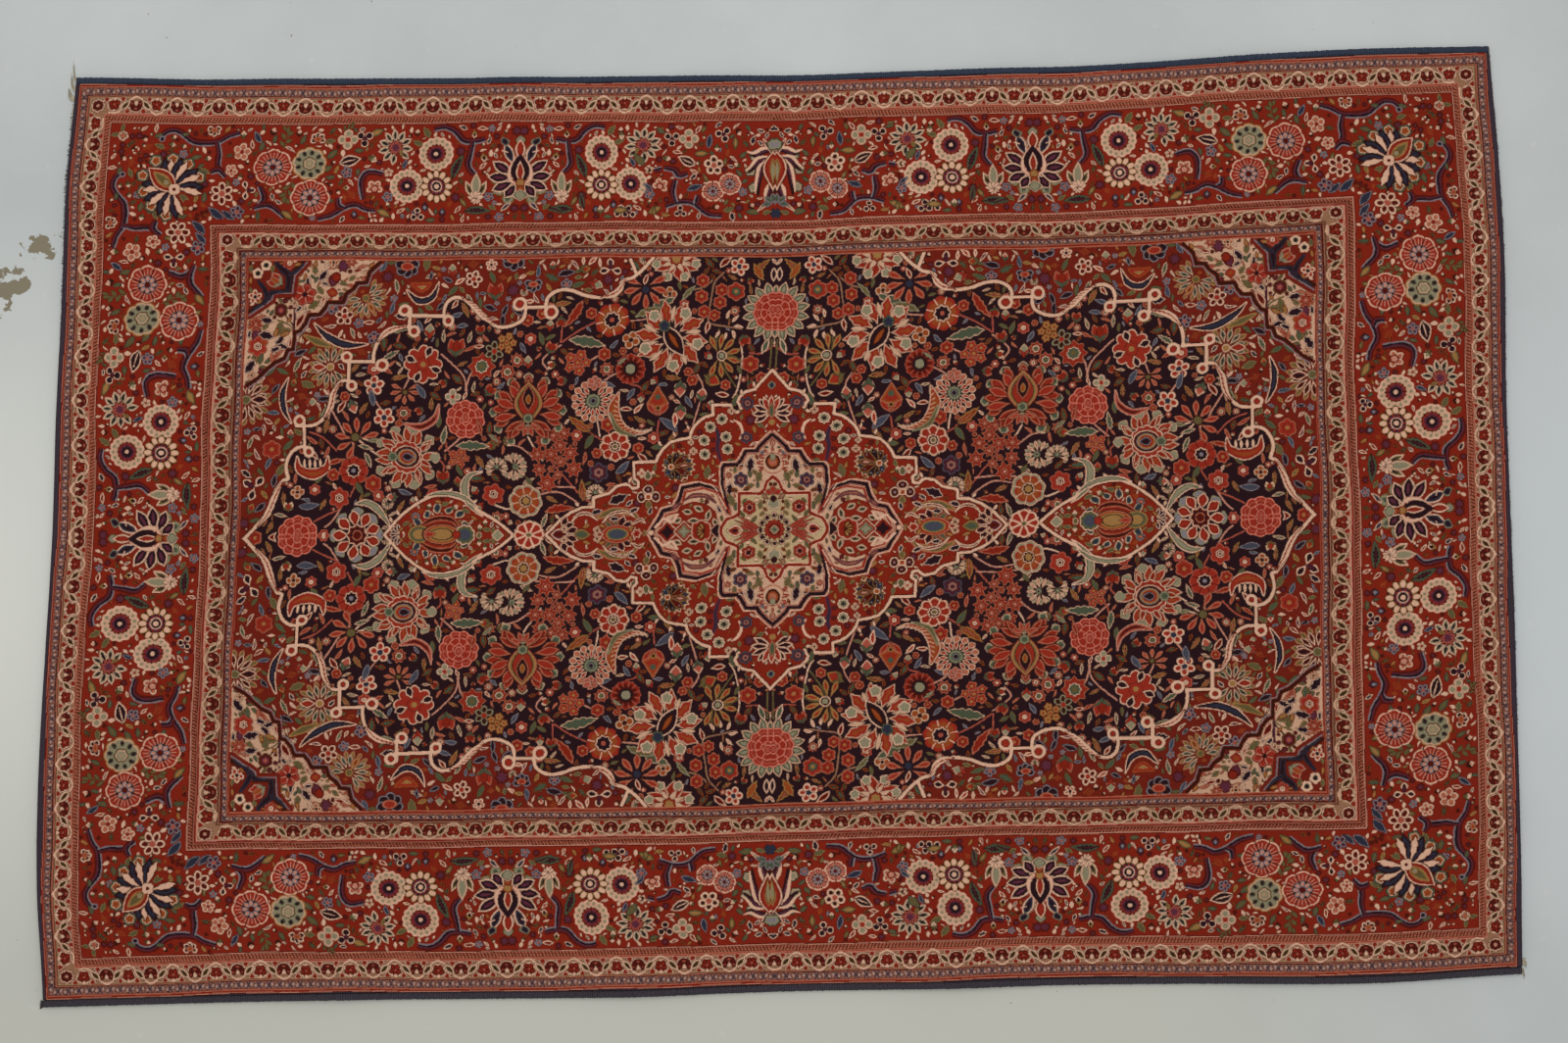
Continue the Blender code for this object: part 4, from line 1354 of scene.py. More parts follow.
FIELD_VINES = """
pink: 600 470, 594 448, 575 428, 560 415
pink: 598 470, 604 446, 616 430
pink: 570 560, 590 540, 600 520
ivory: 691 540, 700 556, 712 575
rose: 716 560, 728 580, 748 604, 770 630, 786 640
pink: 700 616, 730 614, 760 616
pink: 700 626, 735 622, 765 640
ivory: 797 540, 794 520, 788 505
rose: 812 540, 802 515, 795 505
rose: 735 400, 736 372, 734 362
rose: 737 400, 760 384, 785 372
pink: 720 440, 712 424, 736 404
pink: 835 372, 850 371, 868 368
tan: 972 300, 958 316, 954 340, 952 372, 978 380, 1000 384
tan: 955 312, 944 322, 930 326
moss: 968 384, 965 410, 975 440, 995 470
pink: 436 545, 436 572
ivory: 440 540, 462 560, 478 572
ivory: 440 538, 465 546, 500 545
rose: 414 648, 396 655, 378 664
pink: 420 640, 404 664, 394 672
pink: 404 500, 416 520, 424 536
pink: 398 470, 402 500, 396 520
rose: 372 532, 392 540, 412 560
moss: 1020 450, 1000 430, 985 424, 970 430
rose: 1048 408, 1030 420, 1014 420
moss: 1044 400, 1044 440
pink: 936 452, 945 470, 940 498, 930 530
ivory: 999 400, 1004 430, 998 470, 990 486
rose: 856 490, 854 470, 840 465
rose: 880 520, 878 545, 884 560
rose: 770 522, 790 540, 805 548
pink: 825 445, 810 452, 795 462
pink: 760 440, 776 430, 795 420
pink: 610 550, 620 548, 640 556
rose: 600 555, 592 565, 575 560, 570 545
rose: 556 568, 568 580, 568 590
pink: 660 550, 680 556, 700 572
ivory: 641 640, 660 646, 668 640
rose: 430 630, 440 610, 437 600
pink: 480 500, 470 486, 466 470
pink: 520 405, 530 430, 515 450, 508 466
"""


FEATHERS = (
    "297 668, 312 648, 322 624, 331 606",
    "393 512, 402 494, 406 474, 416 460",
    "466 398, 476 386, 489 379, 506 376",
    "588 334, 604 344, 620 360, 636 372",
    "790 336, 806 333, 816 325, 824 312",
)


def feather(chart, points):
    """A stretch of the light line that is thickened to a barbed leaf."""
    chart.line(points, (3, 10.5, 10.5, 3), "brown 0.9 ivory")
    curve = smooth(points_of(points), every=5.5)
    for a, b in zip(curve, curve[1:]):
        chart.line([a, b + (2.5, -2.5)], 1.3, "madder", STRAIGHT)


def field_chart():
    """The quarter of the field: navy ground in red spandrels, under its flowers."""
    chart = Chart(HALF_LENGTH, HALF_WIDTH, "crimson")
    ground = [p for part in CUSPED_EDGE[:-1] for p in part]
    chart.polygon(ground + [(1060, 270), (1060, 700), (276, 700)], "navy")
    is_navy = chart.cells == NAVY

    # the red spandrel
    place_all(chart, SPANDREL_MOTIFS, ALL_KINDS)
    fringed_palmette(Pen(chart, 452, 343, 150), 21, "cream 1.2 green 1.4 ink", "salmon 1.3 gold 2 madder")
    fringed_palmette(
        Pen(chart, 388, 435, -90), 23, "cream 1.2 green 1.4 navy", "ivory 1.5 madder 2 coral",
        "cream 1.6 gold", 10, 290,
    )
    fringed_palmette(
        Pen(chart, 291, 481, 90), 26, "ivory 1.3 wine 1.4 brown", "ivory 1.5 wine 2 navy", "sage 1.6 moss",
        10, 270,
    )
    for points, widths in (
        ("374 371, 392 388, 420 402, 452 402", (3, 13, 13, 3)),
        ("504 322, 522 338, 542 332, 552 310", (3, 12, 11, 2)),
        ("338 450, 331 474, 334 498, 344 518", (3, 11, 11, 3)),
    ):
        chart.line(points, widths, "ivory 1.5 navy 2.4 ink")
    chart.line("360 388, 382 398, 400 404", (4, 12, 4), "gold 2 moss")
    chart.line("510 312, 526 318, 540 312", (4, 16, 4), "orange 2 coral 3 gold")
    filler(chart, "crimson", (276, 280, 900, 690), ~is_navy, SPANDREL_FILLER, 0.012, 11)
    corner(chart)

    # the navy ground
    for wool, points in rows_of(FIELD_VINES):
        chart.line(points, 2.2, wool)
    place_all(chart, FIELD_MOTIFS, FIELD_KINDS)
    great_palmette(Pen(chart, 691, 487))
    half_sun(Pen(chart, 787, 488, 180), 30)
    swirl_palmette(Pen(chart, 903, 406, 145))
    ring_palmette(Pen(chart, 514, 570, 90))
    axis_palmette(Pen(chart, 441, 684, -90))
    sun_rose(Pen(chart, 1044, 359))
    hanging_palmette(Pen(chart, 902, 280, 180))
    fan(Pen(chart, 856, 331, 180), 27, bands="salmon 2 coral 2 orange", heart="navy 3 ink")
    fan(
        Pen(chart, 978, 424, 90), 26, bands="gold 2 coral 2 madder", heart="ivory 1.5 brown 2 sage",
        petals=8,
    )
    rosette(
        Pen(chart, 534, 430), 29, 8, "ivory 1.8 coral", "", "coral", "gold", cut=0.25, ring_size=0.36,
        heart_size=0.14,
    )
    Pen(chart, 534, 430).petals(4, 9, 20, 12, "ivory 1.7 navy", start=22, widest=0.6)
    triangle_flower(Pen(chart, 879, 492))
    curved_spray(Pen(chart, 836, 510))
    bowl(Pen(chart, 375, 580))
    Pen(chart, 533, 505, 40).stroke("-8 -26, 14 -14, 20 8, 10 28", (3, 12, 11, 2), "pink 1.5 rose 2 wine")
    rosette(Pen(chart, 990, 328), 14, 6, "salmon 1.6 coral", "", "green", "gold", cut=0.2)
    Pen(chart, 787, 462).ovals(6, 5, 4.6, 6, "pink 1.4 rose")
    filler(chart, "navy", (276, 280, 1048, 684), is_navy, NAVY_FILLER, 0.014, 23)

    # the cusped line and its curls
    for points in CUSPED_EDGE:
        chart.line(points, 7.4, "brown")
    for points in CUSPED_EDGE:
        chart.line(points, 4.6, "ivory")
    for points in FEATHERS:
        feather(chart, points)
    for x, y, size in EDGE_LOOPS:
        Pen(chart, x, y).disc(size + 2.2, "ivory 4.2 brown 1 coral")
    medallion(chart)
    return chart


def corner(chart):
    """The ornament in the field's corner: an ivory stepped band over a red angle with a navy branch."""
    chart.polygon(CORNER_INNER + [(272, 460), (272, 270), (464, 270)], "cream")
    # what grows on the ivory band
    chart.line("338 338, 344 354, 343 392", (3, 4.6, 3.6), "violet")
    chart.line("330 360, 343 374", 2.4, "brown")
    chart.line("318 366, 334 372, 342 378", 2.6, "moss")
    place_all(chart, """
    smoke: 412 286 11, 288 388 11 20, 300 440 8
    ink rag: 360 310 17 -10, 383 300 22 30, 386 313 14 100, 302 366 22 90, 302 388 26 95, 322 396 22 30
    ink rag: 328 404 20 100, 281 432 26 30, 316 408 18 60, 350 350 15 40, 276 386 14
    green rag: 371 292 16, 379 322 16 -30, 372 344 20 60, 412 312 15 120, 322 378 24 20, 332 382 18 90
    green rag: 426 304 13 60, 346 311 12 30, 350 296 13 20, 300 375 14 60, 393 345 14 70, 292 422 13 20
    gold leaf: 371 284 12 10, 356 302 10, 330 386 16 60, 316 384 14 10, 336 366 10 40, 420 326 12 70
    gold leaf: 452 284 12 30
    split leaf: 433 292 18 70, 352 366 26 20, 338 398 16, 298 452 14 40
    moss leaf: 296 420 22 10, 289 416 18 50, 300 434 12 100, 308 424 16 60
    red leaf: 440 286 16 60, 319 416 22 30, 311 420 16 -20, 398 288 16 60, 280 362 16 90, 292 360 14 60
    orange blossom: 276 372 9, 284 446 7, 398 281 8, 343 342 6, 447 297 6
    red star: 285 372 12, 424 280 9
    coral star: 290 404 15
    sparks: 300 398 8 40, 318 428 8 30
    """, ALL_KINDS)
    flower = Pen(chart, 357, 329)
    flower.ovals(6, 9, 6.2, 7.4, "madder 0.9 rose 1.5 coral", start=15)
    flower.spokes(6, 4, 12, 1.3, "pink", turn=45)
    flower.disc(3.8, "wine 1.2 navy")
    Pen(chart, 323, 352).lobes(10.5, 6, 0.12, "moss 0.8 wine 4 dusk 2 rose")
    Pen(chart, 402, 297, 200).petal(24, 20, "ivory 1.2 wine 3 dusk", widest=0.45)
    Pen(chart, 402, 300).at(0, -3).disc(7.5, "wine 2 madder")
    Pen(chart, 397, 326, -80).at(0, -8).petal(17, 13, "madder 1.5 coral 2 orange", widest=0.5)
    filler(chart, "cream", (272, 272, 470, 464), np.ones(chart.cells.shape, bool), LIGHT_FILLER, 0.02, 59)
    chart.outline(CORNER_INNER, (1.7, "haze"), shift=(3.2, 3.4))
    chart.outline(CORNER_INNER, (6.6, "madder"), (4.8, "brown"))
    # the red angle
    chart.polygon(CORNER_OUTER + [(268, 358), (268, 270), (359, 270)], "crimson")
    chart.outline(CORNER_OUTER, (13, "crimson"), (1.7, "haze"))
    chart.outline(CORNER_OUTER, (5.0, "brown"), shift=(-4, -4))
    for points, widths in (
        ("314 281, 322 290, 332 300, 332 322", (7, 11, 10, 8)),
        ("326 324, 310 325, 302 333, 296 340", (4, 6, 10, 8)),
        ("288 308, 296 318, 302 330", (5, 8, 9)),
        ("334 299, 346 291, 354 282", (7, 5, 3)),
        ("298 337, 288 345, 277 353", (8, 5, 3)),
    ):
        chart.line(points, widths, "brown 0.8 ink 1.6 navy")
    for x, y in ((299, 284), (287, 296)):
        flower = Pen(chart, x, y)
        flower.lobes(8.5, 5, 0.2, "cream 0.8 ivory")
        flower.disc(4, "green 1.2 navy")
    tulip(Pen(chart, 315, 308, -60), 22, bands="pink 1.6 coral", inner="salmon 1.5 orange", calyx="sage")
    place_all(chart, """
    red blossom: 283 331 11
    coral star: 333 281 10
    gold leaf: 345 283 12 70, 276 306 12, 322 281 8 80, 290 338 10 40
    green rag: 309 289 12 30, 277 289 13 10, 276 320 10
    rose bud: 277 281 5 90
    ivory drop: 279 341 8 60, 341 278 6 90
    """, ALL_KINDS)


NAVY_FILLER = """
green leaf 26, red leaf 26, orange leaf 24, red leaf 22, dark rag 24, moss leaf 24, bud 12, tulip 14,
fan 12, little red 9, star 11, sage bud 11, blue leaf 20, split leaf 22, dark rag 20, coral star 10
"""
SPANDREL_FILLER = """
green rag 22, gold leaf 20, ink rag 22, smoke 10, dark rag 24, split leaf 20, navy leaf 24, moss leaf 22,
sage bud 9, curl 18, rose bud 7, moss leaf 20, sparks 10, blue leaf 18, fan 12, ivory leaf 18,
dusk blossom 9
"""
LIGHT_FILLER = """
ink rag 15, green rag 15, split leaf 15, dark rag 14, moss leaf 14, red star 7, rose bud 6, smoke 6,
rose leaf 14, olive leaf 12
"""
PENDANT_FILLER = """
ink rag 15, green rag 15, dark rag 14, moss leaf 14, ivory bud 6, curl 13, navy leaf 14, smoke 6,
ink rag 12, dark rag 10
"""
MEDALLION_FILLER = """
green rag 13, gold leaf 12, dark rag 13, smoke 5, ink rag 14, curl 12, ink rag 12, split leaf 12
"""
BORDER_FILLER = """
gold leaf 17, green rag 17, ink rag 15, smoke 7, dark rag 18, olive leaf 16, curl 15, sparks 10,
split leaf 15, rose bud 6.5, dusk blossom 8, ivory drop 10, ivory bud 7, dark rag 14, smoke 6
"""

FREE_SHARE = 0.93  # of the ground under a motif, for it to be drawn


def filler(chart, ground, area, allowed, kinds, share, seed):
    """Fills what is left of a ground with leaves, buds and blossoms, as a weaver does: large ones first."""
    chance = random.Random(seed)
    kinds = [kind.strip() for kind in kinds.split(",")]
    index = WOOL_INDEX[ground]
    left, top, right, bottom = area
    tries = int((right - left) * (bottom - top) * share)
    for scale in (1.0, 0.8, 0.62, 0.48):
        for _ in range(tries):
            x, y = chance.uniform(left, right), chance.uniform(top, bottom)
            kind, size = chance.choice(kinds).rsplit(maxsplit=1)
            size = float(size) * (scale * chance.uniform(0.85, 1.15))
            slim = any(word in kind for word in ("leaf", "rag", "drop", "curl"))
            reach = size * (0.42 if slim else 0.95)
            i, j, r = int(y / STEP), int(x / STEP), max(int(reach / STEP), 1)
            window = chart.cells[max(i - r, 0):i + r + 1, max(j - r, 0):j + r + 1]
            if window.size == 0 or not allowed[min(i, allowed.shape[0] - 1), min(j, allowed.shape[1] - 1)]:
                continue
            if (window == index).mean() < FREE_SHARE:
                continue
            ALL_KINDS[kind](Pen(chart, x, y, chance.uniform(0, 360)), size)


# ---------------------------------------------------------------- the whole quarter
# where the same lines lie in the left border and in the far one: from the edge, and from the corner
LEFT_DEPTHS = (
    0, 6.4, 8.6, 10.6, 19.4, 25.6, 47.2, 50, 58.4, 59.6, 150, 212, 215, 223, 228, 253, 259, 267.4, 272, 273,
)
FAR_DEPTHS = (
    8, 10.9, 14, 18, 28.4, 32.6, 55.6, 60.4, 69.7, 70.8, 159, 219, 223, 230, 235.2, 256.7, 261.7, 269.8,
    277, 278,
)
LEFT_PLACES = (0, 34, 70.5, 159, 233, 312, 364, 684)
FAR_PLACES = (0, 25.5, 59.5, 150, 231, 306, 361, 670)


def quarter():
    """The chart of the rug's far left quarter."""
    frame, field = frame_chart(), field_chart()
    cells = field.cells
    rows, columns = cells.shape
    far = frame.cells[:round(277.2 / STEP), :columns]
    # the far border, and the left one as the same design turned over the corner's diagonal
    cells[:far.shape[0]] = far
    y = (np.arange(rows) + 0.5) * STEP
    x = (np.arange(round(272 / STEP)) + 0.5) * STEP
    depth = np.interp(x, LEFT_DEPTHS, FAR_DEPTHS)
    along = np.interp(y, LEFT_PLACES, FAR_PLACES)
    turned = frame.cells[
        np.clip((depth / STEP).astype(int), 0, frame.cells.shape[0] - 1)[None, :],
        np.clip((along / STEP).astype(int), 0, columns - 1)[:, None],
    ]
    below = y[:, None] > depth[None, :]
    side = cells[:, :len(x)]
    side[below] = turned[below]
    for cx, cy, size in ((36.4, 44.2, 10), (240.5, 246, 10)):
        corner_rosette(field, cx, cy, size)
    corner_palmette(Pen(field, 149, 160, -50))
    return cells


# ---------------------------------------------------------------- how the rug lies
MM = 0.001
LENGTH, WIDTH = 2.120, 1.346
THICKNESS = 0.008
CORD_WIDTH, CORD_HEIGHT = 0.011, 0.008
GAP = 0.0003
HALF_WEAVE = WIDTH / 2 - CORD_WIDTH - GAP  # from the long axis to a side cord

FAR_LEFT, FAR_RIGHT = np.array((-1.035, 0.678)), np.array((1.065, 0.678))
NEAR_RIGHT, NEAR_LEFT = np.array((1.035, -0.678)), np.array((-1.065, -0.678))
FAR_BOW_MM = (0, -8, -11, -15, -17, -21, -18, -17, -9, 0, 0)
NEAR_BOW_MM = (0, -1, -1, 2, 4, 1, 2, 1, 4, 8, 0)
LEFT_BOW_MM = (0, 9, 9.5, 12, 11, 15, 18.5, 15, 0)
RIGHT_BOW_MM = (0, 8, 11.5, 7, 6.5, 7, 5.5, 4, 0)

Ripple = namedtuple("Ripple", "along_mm side half_width_mm reach_mm height_mm")
RIPPLES = (
    Ripple(-770, 1, 120, 250, 3.0),
    Ripple(-400, 1, 110, 290, 4.5),
    Ripple(-90, 1, 130, 240, 3.5),
    Ripple(330, 1, 120, 270, 4.0),
    Ripple(690, 1, 140, 300, 3.5),
    Ripple(-640, -1, 130, 240, 3.5),
    Ripple(-210, -1, 120, 210, 3.0),
    Ripple(250, -1, 140, 260, 4.0),
    Ripple(700, -1, 130, 250, 3.0),
)


def from_table(values, share):
    """The values at shares of the way along a table of even steps, on a smooth curve through them."""
    values = np.array(values, float)
    last = len(values) - 1
    place = np.clip(share, 0, 1) * last
    i = np.minimum(place.astype(int), last - 1)
    t = place - i
    a, b, c, d = (values[np.clip(i + k, 0, last)] for k in (-1, 0, 1, 2))
    return b + 0.5 * t * (c - a + t * (2 * a - 5 * b + 4 * c - d + t * (3 * (b - c) + d - a)))


def floor_place(along, across):
    """Where points of the loom's frame lie on the floor: a surface patch between four bowed sides."""
    s, t = (along / LENGTH + 0.5)[..., None], (0.5 - across / WIDTH)[..., None]

    def side(start, end, bows, outward, share):
        return start + (end - start) * share + np.array(outward) * from_table(bows, share) * MM

    far = side(FAR_LEFT, FAR_RIGHT, FAR_BOW_MM, (0, 1), s)
    near = side(NEAR_LEFT, NEAR_RIGHT, NEAR_BOW_MM, (0, -1), s)
    left = side(FAR_LEFT, NEAR_LEFT, LEFT_BOW_MM, (-1, 0), t)
    right = side(FAR_RIGHT, NEAR_RIGHT, RIGHT_BOW_MM, (1, 0), t)
    top = FAR_LEFT + (FAR_RIGHT - FAR_LEFT) * s
    bottom = NEAR_LEFT + (NEAR_RIGHT - NEAR_LEFT) * s
    return far + (near - far) * t + left + (right - left) * s - top - (bottom - top) * t


def bell(t):
    return np.where(np.abs(t) < 1, (np.cos(pi * np.clip(t, -1, 1)) + 1) / 2, 0.0)


def lift(along, across):
    """How high the ripples carry the cloth off the floor."""
    height = np.zeros(np.broadcast(along, across).shape)
    for ripple in RIPPLES:
        sideways = (along / MM - ripple.along_mm) / ripple.half_width_mm
        inward = (WIDTH / 2 - ripple.side * across) / MM / ripple.reach_mm
        height += ripple.height_mm * MM * bell(sideways) * bell(inward)
    return height


def frame_shift():
    """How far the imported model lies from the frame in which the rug's corners are given."""
    along = np.linspace(-LENGTH / 2, LENGTH / 2, 49)[None, :]
    across = np.linspace(-HALF_WEAVE, HALF_WEAVE, 31)[:, None]
    low = floor_place(*np.broadcast_arrays(along, across)).reshape(-1, 2).min(0)
    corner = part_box("carpet")[0]
    return np.array((corner.x - low[0], corner.y - low[1], 0.0))


SHIFT = frame_shift()


def on_floor(loom):
    """Moves points from the loom's frame to the floor."""
    loom = np.asarray(loom, float)
    along, across = loom[..., 0], loom[..., 1]
    place = np.empty(loom.shape)
    place[..., :2] = floor_place(along, across)
    place[..., 2] = loom[..., 2] + lift(along, across)
    return place + SHIFT


# ---------------------------------------------------------------- materials
def linear(text):
    """An sRGB hex colour as linear RGB."""
    values = np.array([int(text[i:i + 2], 16) for i in (0, 2, 4)]) / 255
    return np.where(values <= 0.04045, values / 12.92, ((values + 0.055) / 1.055) ** 2.4)


def fill_in(tree, node, inputs):
    """Gives a node's inputs their values, or links them from other nodes' outputs."""
    for name, value in inputs.items():
        if isinstance(value, bpy.types.NodeSocket):
            tree.links.new(value, node.inputs[name])
        else:
            node.inputs[name].default_value = value


def add(tree, kind, inputs, **settings):
    """Adds a node with its inputs and settings."""
    node = tree.nodes.new("ShaderNode" + kind)
    for name, value in settings.items():
        setattr(node, name, value)
    fill_in(tree, node, inputs)
    return node


def new_material(name, roughness, sheen, sheen_tint):
    material = bpy.data.materials.new(name)
    material.use_nodes = True
    tree = material.node_tree
    shader = tree.nodes["Principled BSDF"]
    fill_in(tree, shader, {
        "Roughness": roughness, "Metallic": 0.0, "IOR": 1.45, "Specular IOR Level": 0.03,
        "Sheen Weight": sheen, "Sheen Roughness": 0.6, "Sheen Tint": (*sheen_tint, 1),
    })
    return material, tree, shader


def knotted_wool(name, tuft_mm, depth, shine):
    """Hand-spun wool in cut knots: dull, with a faint bloom at low angles. Each knot takes its dye a
    little differently, and its broken fibres give it a grain of light and dark, partly painted shade:
    darker where the grain lowers the bump."""
    material, tree, shader = new_material(name, 0.92, shine, (0.8, 0.62, 0.5))
    place = add(tree, "TexCoord", {}).outputs["Object"]
    loom = add(tree, "UVMap", {}, uv_map="loom").outputs["UV"]
    in_cell = add(tree, "VectorMath", {0: loom}, operation="FRACTION").outputs["Vector"]
    halves = add(tree, "SeparateXYZ", {"Vector": in_cell})
    right, upper = (
        add(tree, "Math", {0: halves.outputs[axis], 1: 0.5}, operation="GREATER_THAN").outputs["Value"]
        for axis in "XY"
    )
    knots = [add(tree, "Attribute", {}, attribute_name=knot).outputs["Color"] for knot in KNOTS_OF_CELL]
    near, far = (
        add(tree, "Mix", {0: right, 6: first, 7: second}, data_type="RGBA").outputs[2]
        for first, second in (knots[:2], knots[2:])
    )
    wool = add(tree, "Mix", {0: upper, 6: near, 7: far}, data_type="RGBA").outputs[2]
    twice = add(tree, "VectorMath", {0: loom, "Scale": 2.0}, operation="SCALE").outputs["Vector"]
    number = add(tree, "VectorMath", {0: twice}, operation="FLOOR").outputs["Vector"]
    dye = add(tree, "TexWhiteNoise", {"Vector": number}, noise_dimensions="2D").outputs["Value"]
    tuft, worn = (
        add(tree, "TexNoise", {"Vector": place, "Scale": scale, "Detail": detail, "Roughness": rough})
        for scale, detail, rough in ((1000 / tuft_mm, 2.0, 0.6), (7.0, 3.0, 0.55))
    )
    # painted shade: the tufts' grain darkens the colour where it also lowers the bump
    colour = wool
    for value, low, reach in (
        (tuft.outputs["Fac"], 0.3, 0.1), (worn.outputs["Fac"], 0.3, 0.05), (dye, 0.0, 0.09),
    ):
        limits = {"From Min": low, "From Max": 1 - low, "To Min": 1 - reach, "To Max": 1 + reach}
        shade = add(tree, "MapRange", {"Value": value, **limits}).outputs["Result"]
        colour = add(tree, "VectorMath", {0: colour, "Scale": shade}, operation="SCALE").outputs["Vector"]
    height = add(tree, "Math", {0: tuft.outputs["Fac"], 1: 0.6, 2: dye}, operation="MULTIPLY_ADD")
    bump = add(tree, "Bump", {"Strength": 0.5, "Distance": depth, "Height": height.outputs["Value"]})
    fill_in(tree, shader, {"Base Color": colour, "Normal": bump.outputs["Normal"]})
    return material


def spun_yarn(name, dark, light, pitch_mm, axis, sheen_tint, soiled="", both_corners=False):
    """Yarn wound or laid in turns, and fuzzy, with painted shade that darkens it between the turns. Soiled
    yarn keeps its own colour only near the rug's far corners."""
    material, tree, shader = new_material(name, 0.95, 0.1, sheen_tint)
    place = add(tree, "TexCoord", {}).outputs["Object"]
    # a wave of scale 1 repeats every 1 / 3.183 m
    wave = {
        "Vector": place, "Scale": 1000 / pitch_mm / 3.183, "Distortion": 2.5, "Detail": 2.0,
        "Detail Scale": 3.0,
    }
    turn = add(tree, "TexWave", wave, wave_type="BANDS", bands_direction=axis).outputs["Fac"]
    fibres = {"Vector": place, "Scale": 520.0, "Detail": 3.0, "Roughness": 0.65}
    fuzz = add(tree, "TexNoise", fibres).outputs["Fac"]
    # painted shade: where the turns' wave and the fuzz run low, the colour is darker and the bump lower
    mix = add(tree, "Math", {0: turn, 1: 0.45, 2: fuzz}, operation="MULTIPLY_ADD").outputs["Value"]
    shade = add(tree, "MapRange", {"Value": mix, "From Min": 0.35, "From Max": 1.05}).outputs["Result"]
    tones = {6: (*linear(dark), 1), 7: (*linear(light), 1)}
    colour = add(tree, "Mix", {0: shade, **tones}, data_type="RGBA").outputs[2]
    if soiled:
        across = add(tree, "SeparateXYZ", {"Vector": place}).outputs["Y"]
        if both_corners:
            across = add(tree, "Math", {0: across}, operation="ABSOLUTE").outputs["Value"]
        thread = add(tree, "TexNoise", {"Vector": place, "Scale": 240.0, "Detail": 1.0}).outputs["Fac"]
        reach = add(tree, "Math", {0: thread, 1: 0.2, 2: across}, operation="MULTIPLY_ADD").outputs["Value"]
        clean = add(
            tree, "MapRange", {"Value": reach, "From Min": 0.68, "From Max": 0.71},
        ).outputs["Result"]
        tones = {6: (*linear(soiled), 1), 7: colour}
        colour = add(tree, "Mix", {0: clean, **tones}, data_type="RGBA").outputs[2]
    bump = add(tree, "Bump", {"Strength": 0.6, "Distance": 0.0006, "Height": mix}).outputs["Normal"]
    fill_in(tree, shader, {"Base Color": colour, "Normal": bump})
    return material


# ---------------------------------------------------------------- the knots
COLUMNS, ROWS = 816, 510  # cells of the pile's surface, of two by two knots each
KNOTS_OF_CELL = ("knot_1", "knot_2", "knot_3", "knot_4")  # along first, then away from the viewer


def wool_at(along, across):
    """The linear colour of the chart at points of the loom's frame, averaged over a knot's half."""
    # a hand-woven line wanders a little
    x, y = along / MM, across / MM
    wander_x = 1.3 * np.sin(x / 47 + y / 90) + 1.0 * np.sin(y / 61 - 1.7) + 0.7 * np.sin((x + y) / 23)
    wander_y = 1.2 * np.sin(y / 53 + 0.6) + 1.1 * np.sin(x / 83 + y / 140 + 2.2)
    wander_y += 0.6 * np.sin((x - y) / 29)
    u, v = x + wander_x + LENGTH / MM / 2, WIDTH / MM / 2 - y + wander_y
    u = np.where(u < HALF_LENGTH, u, (LENGTH / MM - u) * HALF_LENGTH / (LENGTH / MM - HALF_LENGTH))
    v = np.where(v < HALF_WIDTH, v, (WIDTH / MM - v) * HALF_WIDTH / (WIDTH / MM - HALF_WIDTH))
    wools = np.array([linear(text) for text in WOOLS.values()])
    rows, columns = CELLS.shape
    total = 0
    for du in (-STEP / 2, STEP / 2):
        for dv in (-STEP / 2, STEP / 2):
            i = np.clip(((v + dv) / STEP).astype(int), 0, rows - 1)
            j = np.clip(((u + du) / STEP).astype(int), 0, columns - 1)
            total = total + wools[CELLS[i, j]]
    return total / 4


def knot_noise(shape, seed):
    """Seeded noise between -1 and 1, one value for each place."""
    return np.random.default_rng(seed).uniform(-1, 1, shape)


KNOT_STRAY = 0.00025  # how far a knot stands off its place
UNEVEN, WAVE, WORN = 0.00016, 0.00022, 0.00022  # how far heights stray, wave, and wear where dyes are dark
DARK_DYE = 0.05  # the sum of its linear red, green and blue
PILE_RIM_HEIGHT = 0.0024
RIM = 1  # rows of vertices past the outermost knots, which turn down to the foundation
ALONG = np.clip((np.arange(-RIM, COLUMNS + RIM + 1)) / COLUMNS, 0, 1) * LENGTH - LENGTH / 2
ACROSS = (np.clip((np.arange(-RIM, ROWS + RIM + 1)) / ROWS, 0, 1) * 2 - 1) * HALF_WEAVE


def pile_surface():
    """All vertices of the pile's surface on the floor, row by row from the near side."""
    along, across = np.meshgrid(ALONG, ACROSS)
    shape = along.shape
    height = np.full(shape, THICKNESS) + knot_noise(shape, 3) * UNEVEN
    x, y = along / MM, across / MM
    height += WAVE * np.sin(x / 17 + 2 * np.sin(y / 60)) * np.sin(y / 21)
    height -= np.where(wool_at(along, across).sum(-1) < DARK_DYE, WORN, 0)
    height[[0, -1], :] = height[:, [0, -1]] = PILE_RIM_HEIGHT
    inner = np.s_[1:-1, 1:-1]
    jitter_x, jitter_y = knot_noise(shape, 5) * KNOT_STRAY, knot_noise(shape, 7) * KNOT_STRAY
    along, across = along.copy(), across.copy()
    along[inner] += np.where(np.abs(along[inner]) < LENGTH / 2 - 1e-6, jitter_x[inner], 0)
    across[inner] += np.where(np.abs(across[inner]) < HALF_WEAVE - 1e-6, jitter_y[inner], 0)
    return on_floor(np.stack((along, across, height), -1))


